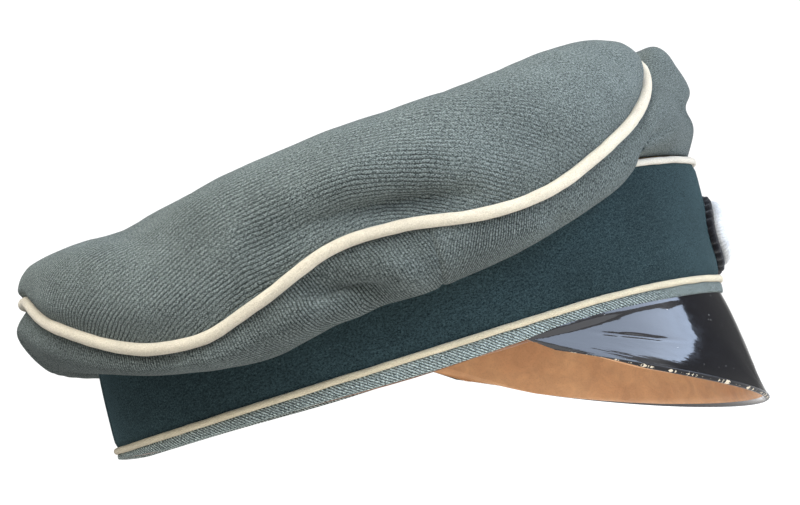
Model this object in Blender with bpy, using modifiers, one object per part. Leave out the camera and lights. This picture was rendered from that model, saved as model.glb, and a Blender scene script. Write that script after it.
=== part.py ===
"""A military peaked cap: a soft crown over a stiff oval band, with a steep lacquered peak.

Metres, +Z up. The origin is the centre of the head opening, in the plane of the band's lower edge
at the sides and the rear. +X points to the peak and +Y to the wearer's left.
"""

import math

import bmesh
import bpy
from mathutils import Vector

MM = 0.001

# Head opening and band
HEAD_LENGTH = 196 * MM
HEAD_WIDTH = 162 * MM
PIPING_HEIGHT = 43.2 * MM  # the band's upper piping above its lower edge
BAND_LEAN = 0.085  # how far the band leans forward for each unit of height
FRONT_DIP = 11.4 * MM  # lowers the band's edges towards the front centre
DIP_START = 0.3  # cosine of the angle where that begins
CLEARANCE = 0.3 * MM

# Layers of the band, from the head outwards
SWEATBAND_THICK = 1.2 * MM
STIFFENER_THICK = 1.0 * MM
BAND_CLOTH_THICK = 1.5 * MM
SWEATBAND_TOP = 40 * MM
SWEATBAND_LOW = 2.2 * MM
REED_RADIUS = 0.8 * MM
WELT_HEIGHT = 3.4 * MM
BAND_PIPING_RADIUS = 1.1 * MM
PIPING_INSET = 0.3 * MM  # how far the piping's centre sits inside the cloth's face

# Crown
CLOTH_THICK = 1.2 * MM
CROWN_PIPING_RADIUS = 1.5 * MM
CROWN_SEAM_INSET = 1.7 * MM  # the wall's lower edge, inside the band cloth's face
CROWN_SEAM_GAP = 0.7 * MM  # and above the band's upper piping
WALL_STAND_OFF = 3 * MM  # between the band and the wall where it hangs over the band
HANG_MARGIN = 4 * MM  # a fold this far above the seam makes the wall stand
HANG_RANGE = 14 * MM  # a fold this much lower makes it hang
LINING_THICK = 0.8 * MM
LINING_DROP = 7 * MM  # how far the lining's top hangs below the top panel
LINING_SAG = 3 * MM  # how much lower its rim is than its middle
LINING_INSET = 12 * MM  # its rim inside the head oval
LINING_BULGE = 5 * MM
SHIELD_THICK = 0.4 * MM
SHIELD_DROP = 1.2 * MM  # below the lining's top
SHIELD_SAG = 2 * MM
SIDE_SEAM_ANGLE = math.radians(94)

# Front stay and wadding inside the crown's front
WADDING_THICK = 2.5 * MM
WADDING_HALF_ANGLE = math.radians(24)
STAY_THICK = 0.8 * MM
STAY_HALF_ANGLE = math.radians(4)
STAY_COVER_THICK = 0.6 * MM

# Peak
PEAK_THICK = 1.8 * MM
PEAK_LINING_THICK = 0.9 * MM
PEAK_CORNER_BACK = 80.5 * MM  # the corners behind the front of the head opening
PEAK_REACH = 87.5 * MM  # from the corners to the front of the edge
PEAK_DROP = 43 * MM
PEAK_CORNER_DROP = 2 * MM
PEAK_ROUNDING = 0.68
PEAK_SIDE_DROP = 0.67
PEAK_BELLY = 0.8 * MM
PEAK_CORNER_INSET = 3 * MM  # the edge's corners, inside the band cloth's face
PEAK_SEAM_INSET = 0.7 * MM

# Badge, a plain padded oval on a scalloped backing
BADGE_WIDTH = 62 * MM
BADGE_HEIGHT = 27 * MM
BADGE_CENTRE_UP = 19.5 * MM
BACKING_THICK = 1.2 * MM
SCALLOPS = 18
SCALLOP_DEPTH = 0.8 * MM
BADGE_RING_RADIUS = 2.0 * MM
BADGE_RING_INSET = 4.2 * MM
BOSS_RADIUS = 5.5 * MM
BOSS_HEIGHT = 3.2 * MM

# Rear bow of the sweatband
BOW_LENGTH = 22 * MM
BOW_HEIGHT = 7 * MM
BOW_THICK = 1.2 * MM
BOW_BELOW_TOP = 10 * MM

BAND_STEPS = 56
CROWN_STEPS = 56
WALL_ROWS = 9
TOP_ROWS = 9

BAND_THICK = SWEATBAND_THICK + STIFFENER_THICK + BAND_CLOTH_THICK + 2 * CLEARANCE
CLOTH_INNER = BAND_THICK - BAND_CLOTH_THICK
PIPING_OUT = BAND_THICK - PIPING_INSET
CROWN_SEAM_OUT = BAND_THICK - CROWN_SEAM_INSET
CROWN_SEAM_UP = PIPING_HEIGHT + BAND_PIPING_RADIUS + CROWN_SEAM_GAP
CROWN_SHIFT = BAND_LEAN * PIPING_HEIGHT
PEAK_CORNER_X = HEAD_LENGTH / 2 - PEAK_CORNER_BACK

# The crown's shape. Heights are above the band's upper piping.
# Piping that joins the crown's wall to its top: angle from the front, out from the head oval, height
PIPING_STATIONS = (
    (0, -7, 36.8),
    (16, -6, 35.8),
    (30, 1.5, 27.3),
    (45, 10.5, 16.3),
    (60, 19.5, 6.3),
    (75, 24, -3.2),
    (85, 25, -4.7),
    (98, 25, -0.7),
    (108, 25, -1.2),
    (120, 25, -9.7),
    (130, 25.5, -14.7),
    (142, 25.5, -11.2),
    (160, 26, 3.3),
    (180, 23, 15.3),
)
# Lower fold of the crown's wall: angle, height of the fold, how far out the belly of the wall is
FOLD_STATIONS = (
    (0, 13.8, 8.5),
    (20, 11.8, 9.5),
    (40, 1.8, 14),
    (55, -5.2, 20),
    (75, -16.2, 25.5),
    (88, -20.2, 27),
    (110, -22.7, 27.5),
    (122, -26.2, 27.5),
    (135, -24.2, 27.5),
    (150, -18.2, 27),
    (165, -12.2, 26),
    (180, -7.2, 24),
)
# Top panel's ridge: distance forward in hundredths of the head opening's half length, height
RIDGE_STATIONS = (
    (-122, 21.8),
    (-110, 26.8),
    (-97, 27.3),
    (-82, 25.8),
    (-65, 29.3),
    (-31, 34.3),
    (0, 35.3),
    (36, 37.3),
    (61, 41.3),
    (82, 41.8),
    (94, 40.8),
    (104, 35.8),
)


def station(table, place, column):
    """A smooth value between a table's rows, level at both ends."""
    place = min(max(place, table[0][0]), table[-1][0])
    row = max(i for i in range(len(table) - 1) if table[i][0] <= place)
    low, high = table[row], table[row + 1]
    span = high[0] - low[0]

    def slope(index):
        if index in (0, len(table) - 1):
            return 0.0
        before, after = table[index - 1], table[index + 1]
        return (after[column] - before[column]) / (after[0] - before[0])

    t = (place - low[0]) / span
    rise = high[column] - low[column]
    start, end = slope(row) * span, slope(row + 1) * span
    return low[column] + t * (start + t * (3 * rise - 2 * start - end + t * (start + end - 2 * rise)))


def through(points, share):
    """A smooth curve through every point, from the first at 0 to the last at 1."""
    place = share * (len(points) - 1)
    first = min(int(place), len(points) - 2)
    t = place - first
    b, c = points[first], points[first + 1]
    a = points[first - 1] if first else 2 * b - c
    d = points[first + 2] if first + 2 < len(points) else 2 * c - b
    return b + 0.5 * t * (c - a + t * (2 * a - 5 * b + 4 * c - d + t * (3 * (b - c) + d - a)))


def dip(angle):
    return FRONT_DIP * max(0.0, math.cos(angle) - DIP_START) ** 2


def band_point(angle, out, up):
    """A point of the band: out from the head oval, up from the lower edge."""
    x = (HEAD_LENGTH / 2 + out) * math.cos(angle) + BAND_LEAN * up
    y = (HEAD_WIDTH / 2 + out) * math.sin(angle)
    return Vector((x, y, up - dip(angle)))


def crown_point(angle, out, height):
    x = (HEAD_LENGTH / 2 + out) * math.cos(angle) + CROWN_SHIFT
    y = (HEAD_WIDTH / 2 + out) * math.sin(angle)
    return Vector((x, y, height))


def piping_place(angle):
    """Out and height of the crown piping's centre."""
    degrees = abs(math.degrees(angle))
    height = PIPING_HEIGHT + station(PIPING_STATIONS, degrees, 2) * MM
    return station(PIPING_STATIONS, degrees, 1) * MM, height


def wall_profile(angle):
    """Control points of the crown's wall at one angle, from the band's seam to the crown piping."""
    degrees = abs(math.degrees(angle))
    low = PIPING_HEIGHT + station(FOLD_STATIONS, degrees, 1) * MM
    belly = station(FOLD_STATIONS, degrees, 2) * MM
    piping_out, piping_up = piping_place(angle)
    seam_up = CROWN_SEAM_UP - dip(angle)
    hang = min(max((seam_up + HANG_MARGIN - low) / HANG_RANGE, 0.0), 1.0)
    hang = hang * hang * (3 - 2 * hang)
    top = piping_up - 1.1 * CROWN_PIPING_RADIUS
    leg_out = BAND_THICK + WALL_STAND_OFF
    hanging = (
        (CROWN_SEAM_OUT, seam_up),
        (leg_out - 0.5 * MM, seam_up - 0.5 * MM),
        (leg_out + 0.6 * MM, seam_up + 0.55 * (low - seam_up)),
        (leg_out + 0.25 * (belly - leg_out), low + 1.5 * MM),
        (leg_out + 0.65 * (belly - leg_out), low + 0.5 * MM),
        (belly, low + 0.4 * (top - low)),
        (piping_out, top),
    )
    rise = top - seam_up
    standing = (
        (CROWN_SEAM_OUT, seam_up),
        (CROWN_SEAM_OUT + 0.5 * (belly - CROWN_SEAM_OUT), seam_up + 0.12 * rise),
        (CROWN_SEAM_OUT + 0.85 * (belly - CROWN_SEAM_OUT), seam_up + 0.27 * rise),
        (belly, seam_up + 0.43 * rise),
        (piping_out + 0.85 * (belly - piping_out), seam_up + 0.62 * rise),
        (piping_out + 0.5 * (belly - piping_out), seam_up + 0.82 * rise),
        (piping_out, top),
    )
    mixed = []
    for down, up in zip(hanging, standing):
        out = down[0] * hang + up[0] * (1 - hang)
        height = down[1] * hang + up[1] * (1 - hang)
        mixed.append(crown_point(angle, out, height))
    return mixed


def surface_normal(surface, angle, share):
    step = 1e-3
    along = surface(angle + step, share) - surface(angle - step, share)
    low, high = max(share - step, 0), min(share + step, 1)
    up = surface(angle, high) - surface(angle, low)
    return along.cross(up).normalized()


def wall_surface(angle, share):
    return through(wall_profile(angle), share)


def wall_point(angle, share, depth=0.0):
    """A point of the crown's wall, moved inwards by a depth."""
    return wall_surface(angle, share) - depth * surface_normal(wall_surface, angle, share)


def ridge(x):
    """Height of the top panel's ridge at a distance forward of the origin."""
    return PIPING_HEIGHT + station(RIDGE_STATIONS, 100 * x / (HEAD_LENGTH / 2), 1) * MM


def top_profile(angle):
    """Control points of the top panel at one angle, from the crown piping to the panel's centre."""
    out, up = piping_place(angle)
    start = up + 1.1 * CROWN_PIPING_RADIUS
    edge = crown_point(angle, out - 14 * MM, 0)
    rise = ridge(edge.x) - start
    points = [crown_point(angle, out, start)]
    points.append(crown_point(angle, out + 0.06 * rise, start + 0.3 * rise))
    points.append(crown_point(angle, out - 4 * MM, start + 0.72 * rise))
    centre = Vector((CROWN_SHIFT, 0, 0))
    for share in (0.85, 0.62, 0.32, 0.0):
        point = centre.lerp(crown_point(angle, out, 0), share)
        point.z = ridge(point.x) - 1.5 * MM * (share > 0.8)
        points.append(point)
    return points


def top_surface(angle, share):
    return through(top_profile(angle), share)


def material(name, colour, roughness, metallic=0.0):
    made = bpy.data.materials.new(name)
    made.use_nodes = True
    shader = made.node_tree.nodes["Principled BSDF"]
    shader.inputs["Base Color"].default_value = (*colour, 1.0)
    shader.inputs["Roughness"].default_value = roughness
    shader.inputs["Metallic"].default_value = metallic
    made.diffuse_color = (*colour, 1.0)
    return made


def place(name, data, finish):
    item = bpy.data.objects.new(name, data)
    data.materials.append(finish)
    parts.objects.link(item)
    return item


def mesh_object(name, work, finish):
    """Turns a finished bmesh into a smooth-shaded named object with its faces pointing out."""
    bmesh.ops.recalc_face_normals(work, faces=work.faces)
    data = bpy.data.meshes.new(name)
    work.to_mesh(data)
    work.free()
    data.shade_smooth()
    data.set_sharp_from_angle(angle=math.radians(40))
    return place(name, data, finish)


def loft(name, sections, finish, closed=False):
    """Joins sections, each a closed outline with the same number of points, into one solid."""
    work = bmesh.new()
    rows = [[work.verts.new(point) for point in section] for section in sections]
    count = len(rows)
    for i in range(count if closed else count - 1):
        here, ahead = rows[i], rows[(i + 1) % count]
        for j in range(len(here)):
            k = (j + 1) % len(here)
            work.faces.new((here[j], here[k], ahead[k], ahead[j]))
    if not closed:
        work.faces.new(reversed(rows[0]))
        work.faces.new(rows[-1])
    return mesh_object(name, work, finish)


def turn_angles(steps, start=-math.pi, end=math.pi, closed=True):
    return [start + (end - start) * i / steps for i in range(steps if closed else steps + 1)]


def band_ring(name, inner, outer, low, high, finish, angles=None):
    """A strip of the band with a rectangular section."""
    closed = angles is None
    if closed:
        angles = turn_angles(BAND_STEPS)
    corners = ((inner, low), (outer, low), (outer, high), (inner, high))
    sections = [[band_point(angle, out, up) for out, up in corners] for angle in angles]
    return loft(name, sections, finish, closed)


def cord(name, points, radius, finish, closed=True, sides=1):
    """A round cord along points; sides is the bevel resolution."""
    data = bpy.data.curves.new(name, "CURVE")
    data.dimensions = "3D"
    data.bevel_depth = radius
    data.bevel_resolution = sides
    data.use_fill_caps = True
    line = data.splines.new("POLY")
    line.points.add(len(points) - 1)
    for node, point in zip(line.points, points):
        node.co = (*point, 1.0)
    line.use_cyclic_u = closed
    return place(name, data, finish)


def sheet(name, rows, thickness, finish, tip=None, closed=False):
    """A cloth or leather sheet: rows of points on its outer face, thickened inwards."""
    work = bmesh.new()
    grid = [[work.verts.new(point) for point in row] for row in rows]
    for low, high in zip(grid, grid[1:]):
        count = len(low)
        for i in range(count if closed else count - 1):
            k = (i + 1) % count
            work.faces.new((low[i], low[k], high[k], high[i]))
    if tip is not None:
        peak = work.verts.new(tip)
        last = grid[-1]
        for i in range(len(last)):
            work.faces.new((last[i], last[(i + 1) % len(last)], peak))
    data = bpy.data.meshes.new(name)
    work.to_mesh(data)
    work.free()
    data.shade_smooth()
    item = place(name, data, finish)
    shell = item.modifiers.new("Thickness", "SOLIDIFY")
    shell.thickness = thickness
    shell.offset = -1
    shell.use_even_offset = True
    return item


def patch(name, outline, surface, thickness, finish):
    """A thin flat piece laid on a curved surface, filled from its outline to its middle."""
    rows = [[surface(share * u, share * v) for u, v in outline] for share in (1, 0.8, 0.6, 0.4, 0.2)]
    return sheet(name, rows, thickness, finish, tip=surface(0, 0), closed=True)


def make_band():
    band_ring("band_cloth", CLOTH_INNER, BAND_THICK,
              WELT_HEIGHT + 2 * BAND_PIPING_RADIUS + 2 * CLEARANCE,
              PIPING_HEIGHT - BAND_PIPING_RADIUS - CLEARANCE, band_green)
    inner = SWEATBAND_THICK + CLEARANCE
    band_ring("band_stiffener", inner, inner + STIFFENER_THICK, WELT_HEIGHT,
              PIPING_HEIGHT - 2 * BAND_PIPING_RADIUS, fibre)
    band_ring("bottom_welt", CLOTH_INNER, BAND_THICK - CLEARANCE, 0, WELT_HEIGHT - CLEARANCE, crown_cloth)
    lower = WELT_HEIGHT + BAND_PIPING_RADIUS
    for name, up in (("band_lower_piping", lower), ("band_upper_piping", PIPING_HEIGHT)):
        points = [band_point(angle, PIPING_OUT, up) for angle in turn_angles(BAND_STEPS)]
        cord(name, points, BAND_PIPING_RADIUS, piping_wool)


def bow_point(across, up):
    """A point of the bow's face, across the rear of the sweatband and up from the bow's middle."""
    angle = math.pi - across / (HEAD_WIDTH / 2)
    return band_point(angle, -CLEARANCE - BOW_THICK, SWEATBAND_TOP - BOW_BELOW_TOP + up)


def make_sweatband():
    band_ring("sweatband", 0, SWEATBAND_THICK, SWEATBAND_LOW + CLEARANCE, SWEATBAND_TOP, leather)
    reed_up = SWEATBAND_LOW - REED_RADIUS
    points = [band_point(angle, SWEATBAND_THICK / 2, reed_up) for angle in turn_angles(BAND_STEPS)]
    cord("sweatband_reed", points, REED_RADIUS, leather)
    steps = 24
    outline = []
    for i in range(steps):
        turn = 2 * math.pi * i / steps
        waist = 0.35 + 0.65 * abs(math.cos(turn)) ** 1.2
        outline.append((BOW_LENGTH / 2 * math.cos(turn), BOW_HEIGHT / 2 * math.sin(turn) * waist))
    patch("sweatband_bow", outline, bow_point, BOW_THICK, ribbon)


def make_crown():
    gap = CLEARANCE / (HEAD_WIDTH / 2)
    ends = {
        "crown_front_panel_right": (-SIDE_SEAM_ANGLE + gap, -gap),
        "crown_front_panel_left": (gap, SIDE_SEAM_ANGLE - gap),
        "crown_rear_panel_left": (SIDE_SEAM_ANGLE + gap, math.pi - gap),
        "crown_rear_panel_right": (-math.pi + gap, -SIDE_SEAM_ANGLE - gap),
    }
    for name, (start, end) in ends.items():
        steps = max(8, round(CROWN_STEPS * (end - start) / (2 * math.pi)))
        angles = turn_angles(steps, start, end, closed=False)
        rows = [[wall_point(angle, i / WALL_ROWS) for angle in angles] for i in range(WALL_ROWS + 1)]
        sheet(name, rows, CLOTH_THICK, crown_cloth)
    angles = turn_angles(CROWN_STEPS)
    points = []
    for angle in angles:
        out, up = piping_place(angle)
        points.append(crown_point(angle, out + 0.4 * CROWN_PIPING_RADIUS, up))
    cord("crown_piping", points, CROWN_PIPING_RADIUS, piping_wool)
    rows = [[top_surface(angle, i / TOP_ROWS) for angle in angles] for i in range(TOP_ROWS)]
    sheet("crown_top_panel", rows, CLOTH_THICK, crown_cloth, tip=top_surface(0, 1), closed=True)


def lining_rim(angle):
    """Where the lining's side meets its top, below the top panel."""
    point = crown_point(angle, -LINING_INSET, 0)
    point.z = ridge(point.x) - LINING_DROP - LINING_SAG
    return point


def make_lining():
    angles = turn_angles(BAND_STEPS // 2)
    rows = []
    for share in (0, 0.12, 0.3, 0.55, 0.8, 1):
        row = []
        for angle in angles:
            foot = band_point(angle, 0, SWEATBAND_TOP + CLEARANCE)
            rim = lining_rim(angle)
            point = foot.lerp(rim, share)
            bulge = LINING_BULGE * math.sin(math.pi * share)
            point += Vector((math.cos(angle), math.sin(angle), 0)) * bulge
            row.append(point)
        rows.append(row)
    sheet("crown_lining_side", rows, LINING_THICK, lining_silk, closed=True)
    centre = Vector((CROWN_SHIFT, 0, ridge(CROWN_SHIFT) - LINING_DROP))
    rows = []
    for share in (0.985, 0.85, 0.6, 0.3):
        row = []
        for angle in angles:
            point = centre.lerp(lining_rim(angle), share)
            point.z = ridge(point.x) - LINING_DROP - LINING_SAG * share ** 2 + CLEARANCE
            row.append(point)
        rows.append(row)
    sheet("crown_lining_top", rows, LINING_THICK, lining_silk, tip=centre, closed=True)
    rows = []
    drop = LINING_DROP + LINING_THICK + SHIELD_DROP
    for share in (0.55, 0.4, 0.2):
        row = []
        for angle in angles:
            rim = lining_rim(angle)
            point = centre.lerp(rim, share)
            point.z = ridge(point.x) - drop - SHIELD_SAG * share ** 2
            row.append(point)
        rows.append(row)
    tip = Vector((CROWN_SHIFT, 0, ridge(CROWN_SHIFT) - drop))
    sheet("sweat_shield", rows, SHIELD_THICK, celluloid, tip=tip, closed=True)


def make_front_stay():
    depth = CLOTH_THICK + CLEARANCE
    angles = turn_angles(12, -WADDING_HALF_ANGLE, WADDING_HALF_ANGLE, closed=False)
    shares = (0.3, 0.42, 0.54, 0.66, 0.78)
    rows = [[wall_point(angle, share, depth) for angle in angles] for share in shares]
    sheet("front_wadding", rows, WADDING_THICK, wadding)
    depth += WADDING_THICK + CLEARANCE
    angles = turn_angles(4, -STAY_HALF_ANGLE, STAY_HALF_ANGLE, closed=False)
    shares = (0.22, 0.35, 0.48, 0.6, 0.72, 0.84)
    rows = [[wall_point(angle, share, depth) for angle in angles] for share in shares]
    sheet("front_stay", rows, STAY_THICK, spring_steel)
    depth += STAY_THICK + CLEARANCE
    wider = STAY_HALF_ANGLE * 1.5
    angles = turn_angles(4, -wider, wider, closed=False)
    shares = (0.2, 0.35, 0.48, 0.6, 0.72, 0.86)
    rows = [[wall_point(angle, share, depth) for angle in angles] for share in shares]
    sheet("front_stay_cover", rows, STAY_COVER_THICK, lining_silk)


def peak_edge(turn):
    """The peak's outer edge, from one corner at -90 degrees to the other at 90."""
    side = math.cos(turn)
    x = PEAK_CORNER_X + PEAK_REACH * side ** PEAK_ROUNDING
    y = (HEAD_WIDTH / 2 + BAND_THICK - PEAK_CORNER_INSET) * math.sin(turn)
    return Vector((x, y, -PEAK_CORNER_DROP - (PEAK_DROP - PEAK_CORNER_DROP) * side ** PEAK_SIDE_DROP))


def peak_surface(turn, share):
    """The peak's upper face, from its seam under the welt at 0 to its edge at 1."""
    corner = math.acos(PEAK_CORNER_X / (HEAD_LENGTH / 2))
    seam = band_point(corner * math.sin(turn), BAND_THICK - PEAK_SEAM_INSET, -CLEARANCE)
    point = seam.lerp(peak_edge(turn), share)
    out = Vector((math.cos(turn), math.sin(turn), 0.25))
    return point + out * PEAK_BELLY * math.sin(math.pi * share) * math.cos(turn)


def peak_point(turn, share, depth):
    return peak_surface(turn, share) + depth * surface_normal(peak_surface, turn, share)


def make_peak():
    limit = math.radians(88)
    turns = turn_angles(28, -limit, limit, closed=False)
    rows = [[peak_surface(turn, i / 5) for turn in reversed(turns)] for i in range(6)]
    sheet("peak_shell", rows, PEAK_THICK, lacquer)
    limit = math.radians(76)
    turns = turn_angles(24, -limit, limit, closed=False)
    depth = PEAK_THICK + CLEARANCE
    shares = (0.1, 0.3, 0.5, 0.7, 0.95)
    rows = [[peak_point(turn, share, depth) for turn in reversed(turns)] for share in shares]
    sheet("peak_lining", rows, PEAK_LINING_THICK, leather)


def badge_point(across, up, out=BACKING_THICK):
    """A point of the badge: across the front of the band, up from its middle, out from the cloth."""
    angle = across / (HEAD_WIDTH / 2 + BAND_THICK)
    return band_point(angle, BAND_THICK + CLEARANCE + out, BADGE_CENTRE_UP + up)


def badge_oval(share, inset=0.0, wave=0.0):
    turn = 2 * math.pi * share
    waved = wave * math.cos(SCALLOPS * turn)
    across = (BADGE_WIDTH / 2 - inset + waved) * math.cos(turn)
    return across, (BADGE_HEIGHT / 2 - inset + waved) * math.sin(turn)


def make_badge():
    steps = 3 * SCALLOPS
    outline = [badge_oval(i / steps, SCALLOP_DEPTH, SCALLOP_DEPTH) for i in range(steps)]
    patch("badge_backing", outline, badge_point, BACKING_THICK, felt_black)
    lift = BACKING_THICK + CLEARANCE + BADGE_RING_RADIUS
    points = []
    for i in range(40):
        u, v = badge_oval(i / 40, BADGE_RING_INSET)
        points.append(badge_point(u, v, lift))
    cord("badge_ring", points, BADGE_RING_RADIUS, embroidery)
    lift = BACKING_THICK + CLEARANCE
    sections = []
    for turn in (0, 25, 50, 75):
        swell = math.radians(turn)
        ring = []
        for i in range(20):
            spin = 2 * math.pi * i / 20
            reach = BOSS_RADIUS * math.cos(swell)
            ring.append(badge_point(reach * math.cos(spin), reach * math.sin(spin),
                                    lift + BOSS_HEIGHT * math.sin(swell)))
        sections.append(ring)
    loft("badge_boss", sections, silver)


for old in list(bpy.data.objects):
    bpy.data.objects.remove(old, do_unlink=True)
parts = bpy.data.collections.new("peaked_cap")
bpy.context.scene.collection.children.link(parts)

crown_cloth = material("crown_cloth", (0.13, 0.16, 0.155), 0.95)
band_green = material("band_cloth", (0.02, 0.045, 0.055), 0.95)
piping_wool = material("piping_wool", (0.8, 0.75, 0.62), 0.9)
lacquer = material("peak_lacquer", (0.01, 0.01, 0.012), 0.15)
leather = material("leather", (0.42, 0.2, 0.09), 0.5)
fibre = material("fibreboard", (0.3, 0.22, 0.14), 0.8)
lining_silk = material("lining", (0.5, 0.32, 0.14), 0.4)
celluloid = material("celluloid", (0.8, 0.75, 0.6), 0.2)
ribbon = material("ribbon", (0.05, 0.04, 0.035), 0.6)
wadding = material("wadding", (0.6, 0.58, 0.52), 1.0)
spring_steel = material("spring_steel", (0.5, 0.5, 0.5), 0.35, 1.0)
felt_black = material("badge_felt", (0.012, 0.012, 0.014), 1.0)
embroidery = material("badge_thread", (0.8, 0.81, 0.8), 0.6)
silver = material("badge_metal", (0.7, 0.7, 0.7), 0.3, 1.0)

make_band()
make_sweatband()
make_crown()
make_lining()
make_front_stay()
make_peak()
make_badge()
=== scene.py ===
"""Looks of the military peaked cap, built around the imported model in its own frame.

Metres, +X to the peak, +Y to the wearer's left, +Z up. Shapes are worked out in millimetres with
numpy and scaled once, in grid_mesh.
"""
import math

import bpy
import numpy as np
from mathutils import Matrix, Vector, noise


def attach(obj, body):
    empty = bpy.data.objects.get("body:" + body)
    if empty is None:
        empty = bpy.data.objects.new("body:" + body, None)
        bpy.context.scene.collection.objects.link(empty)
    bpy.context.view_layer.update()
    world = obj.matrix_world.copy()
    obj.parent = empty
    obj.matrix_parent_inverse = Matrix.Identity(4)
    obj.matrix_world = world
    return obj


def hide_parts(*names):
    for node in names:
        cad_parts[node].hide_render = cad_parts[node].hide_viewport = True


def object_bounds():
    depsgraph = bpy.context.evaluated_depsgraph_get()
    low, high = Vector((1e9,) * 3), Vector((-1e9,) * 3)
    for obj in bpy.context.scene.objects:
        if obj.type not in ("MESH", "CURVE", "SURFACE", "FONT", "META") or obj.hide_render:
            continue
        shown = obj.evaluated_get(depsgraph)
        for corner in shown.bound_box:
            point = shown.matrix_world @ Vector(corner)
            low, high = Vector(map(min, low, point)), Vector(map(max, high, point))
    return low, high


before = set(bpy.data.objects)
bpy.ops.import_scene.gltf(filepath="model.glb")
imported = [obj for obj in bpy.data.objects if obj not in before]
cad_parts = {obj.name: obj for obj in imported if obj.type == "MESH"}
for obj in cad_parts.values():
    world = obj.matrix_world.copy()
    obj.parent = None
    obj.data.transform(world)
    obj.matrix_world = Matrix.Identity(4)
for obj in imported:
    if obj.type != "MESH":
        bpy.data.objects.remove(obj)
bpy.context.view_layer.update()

# Sizes in millimetres, the same as the solid model's
HALF_LENGTH = 98.0
HALF_WIDTH = 81.0
PIPING_HEIGHT = 43.2
BAND_LEAN = 0.085
FRONT_DIP = 11.4
DIP_START = 0.3
BAND_THICK = 4.3
CLOTH_INNER = 2.8
SWEATBAND_THICK = 1.2
SWEATBAND_TOP = 40.0
WELT_HEIGHT = 3.4
BAND_PIPING_RADIUS = 1.1
CROWN_PIPING_RADIUS = 1.5
CLOTH_ON_PIPING = 1.1 * CROWN_PIPING_RADIUS
CROWN_SEAM_OUT = BAND_THICK - 1.7
CROWN_SEAM_UP = PIPING_HEIGHT + BAND_PIPING_RADIUS + 0.7
CROWN_SHIFT = BAND_LEAN * PIPING_HEIGHT
PIPING_OUT = BAND_THICK - 0.3
LINING_DROP = 7.0
LINING_INSET = 12.0
SHIELD_HALF_LENGTH = 52.0
SHIELD_HALF_WIDTH = 42.0
SHIELD_POINTING = 1.35
SIDE_SEAM = 94.0
PEAK_THICK = 1.8
PEAK_CORNER_X = 17.5
PEAK_REACH = 87.5
PEAK_DROP = 43.0
PEAK_CORNER_DROP = 2.0
PEAK_ROUNDING = 0.68
PEAK_SIDE_DROP = 0.67
PEAK_BELLY = 0.8
BADGE_WIDTH = 62.0
BADGE_HEIGHT = 27.0
BADGE_CENTRE_UP = 19.5
SCALLOPS = 26

# Crown stations by degrees from the front: (out, height) of the piping, then (lowest height, how far
# out its belly stands) of the wall. The ridge's are (percent of HALF_LENGTH, height).
PIPING_STATIONS = (
    (0, -11.5, 79), (16, -9.5, 77.5), (30, 1, 70.5), (45, 10.5, 59.5), (60, 19.5, 49.5), (75, 24, 40),
    (85, 25, 38.5), (98, 25, 42.5), (108, 25, 42), (120, 25, 33.5), (130, 25.5, 28.5), (142, 25.5, 32),
    (160, 25, 46.5), (180, 20.7, 58.5),
)
FOLD_STATIONS = (
    (0, 57, 8.5), (20, 55, 9.5), (40, 45, 14), (55, 38, 20), (75, 27, 25.5), (88, 23, 27),
    (110, 20.5, 27.5), (122, 17, 27.5), (135, 19, 27.5), (150, 25.5, 27), (165, 31.5, 26.8),
    (180, 35, 26.7),
)
RIDGE_STATIONS = (
    (-122, 63), (-117, 67.5), (-111, 71), (-104, 72.6), (-97, 72.4), (-82, 71), (-65, 73.5), (-31, 77.5),
    (0, 78.5), (36, 80.5), (61, 84.5), (82, 85), (94, 84), (104, 79),
)

# The wearer's left side, beyond the side seam, hangs less
PIPING_LEFT = PIPING_STATIONS[:8] + (
    (108, 25, 43.5), (120, 25, 41.5), (130, 25.2, 42), (142, 25.2, 48), (160, 23.6, 58),
    (180, 20.7, 58.5),
)
FOLD_LEFT = FOLD_STATIONS[:6] + (
    (110, 24, 26.5), (122, 25, 26), (135, 27, 25.5), (150, 30, 26), (165, 33.5, 26.6), (180, 35, 26.7),
)

# Creases in the cloth: points along the crease, its half width, how far it stands out (or in)
TOP_FOLDS = (
    (((-42, -101, 51), (-28, -104, 51), (-10, -107, 48), (6, -107, 46)), 5.0, -6.0),
    (((-58, -94, 56), (-38, -101, 61), (-15, -105, 61), (12, -106, 58)), 7.5, 3.4),
    (((-62, -93, 45), (-50, -97, 51), (-38, -101, 57)), 8.0, -3.0),
    (((-86, -20, 71), (-84, -45, 70), (-80, -70, 62), (-72, -86, 48)), 11.0, -2.6),
    (((28, -106, 52), (43, -101, 57)), 6.0, -1.6),
    (((70, -74, 78), (78, -68, 68)), 5.0, -1.4),
    (((-20, -98, 73), (20, -98, 75), (50, -86, 79)), 12.0, 1.2),
    (((-50, 96, 50), (-20, 104, 56), (10, 106, 54)), 7.0, -2.6),
    (((-90, 40, 70), (-78, 72, 60)), 12.0, -2.2),
    (((30, 104, 52), (52, 96, 60)), 7.0, -1.8),
    (((-60, 0, 75), (-20, 14, 79), (20, 6, 80)), 26.0, -2.4),
    (((40, -30, 83), (66, 0, 86), (60, 34, 84)), 16.0, -1.6),
)
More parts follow.
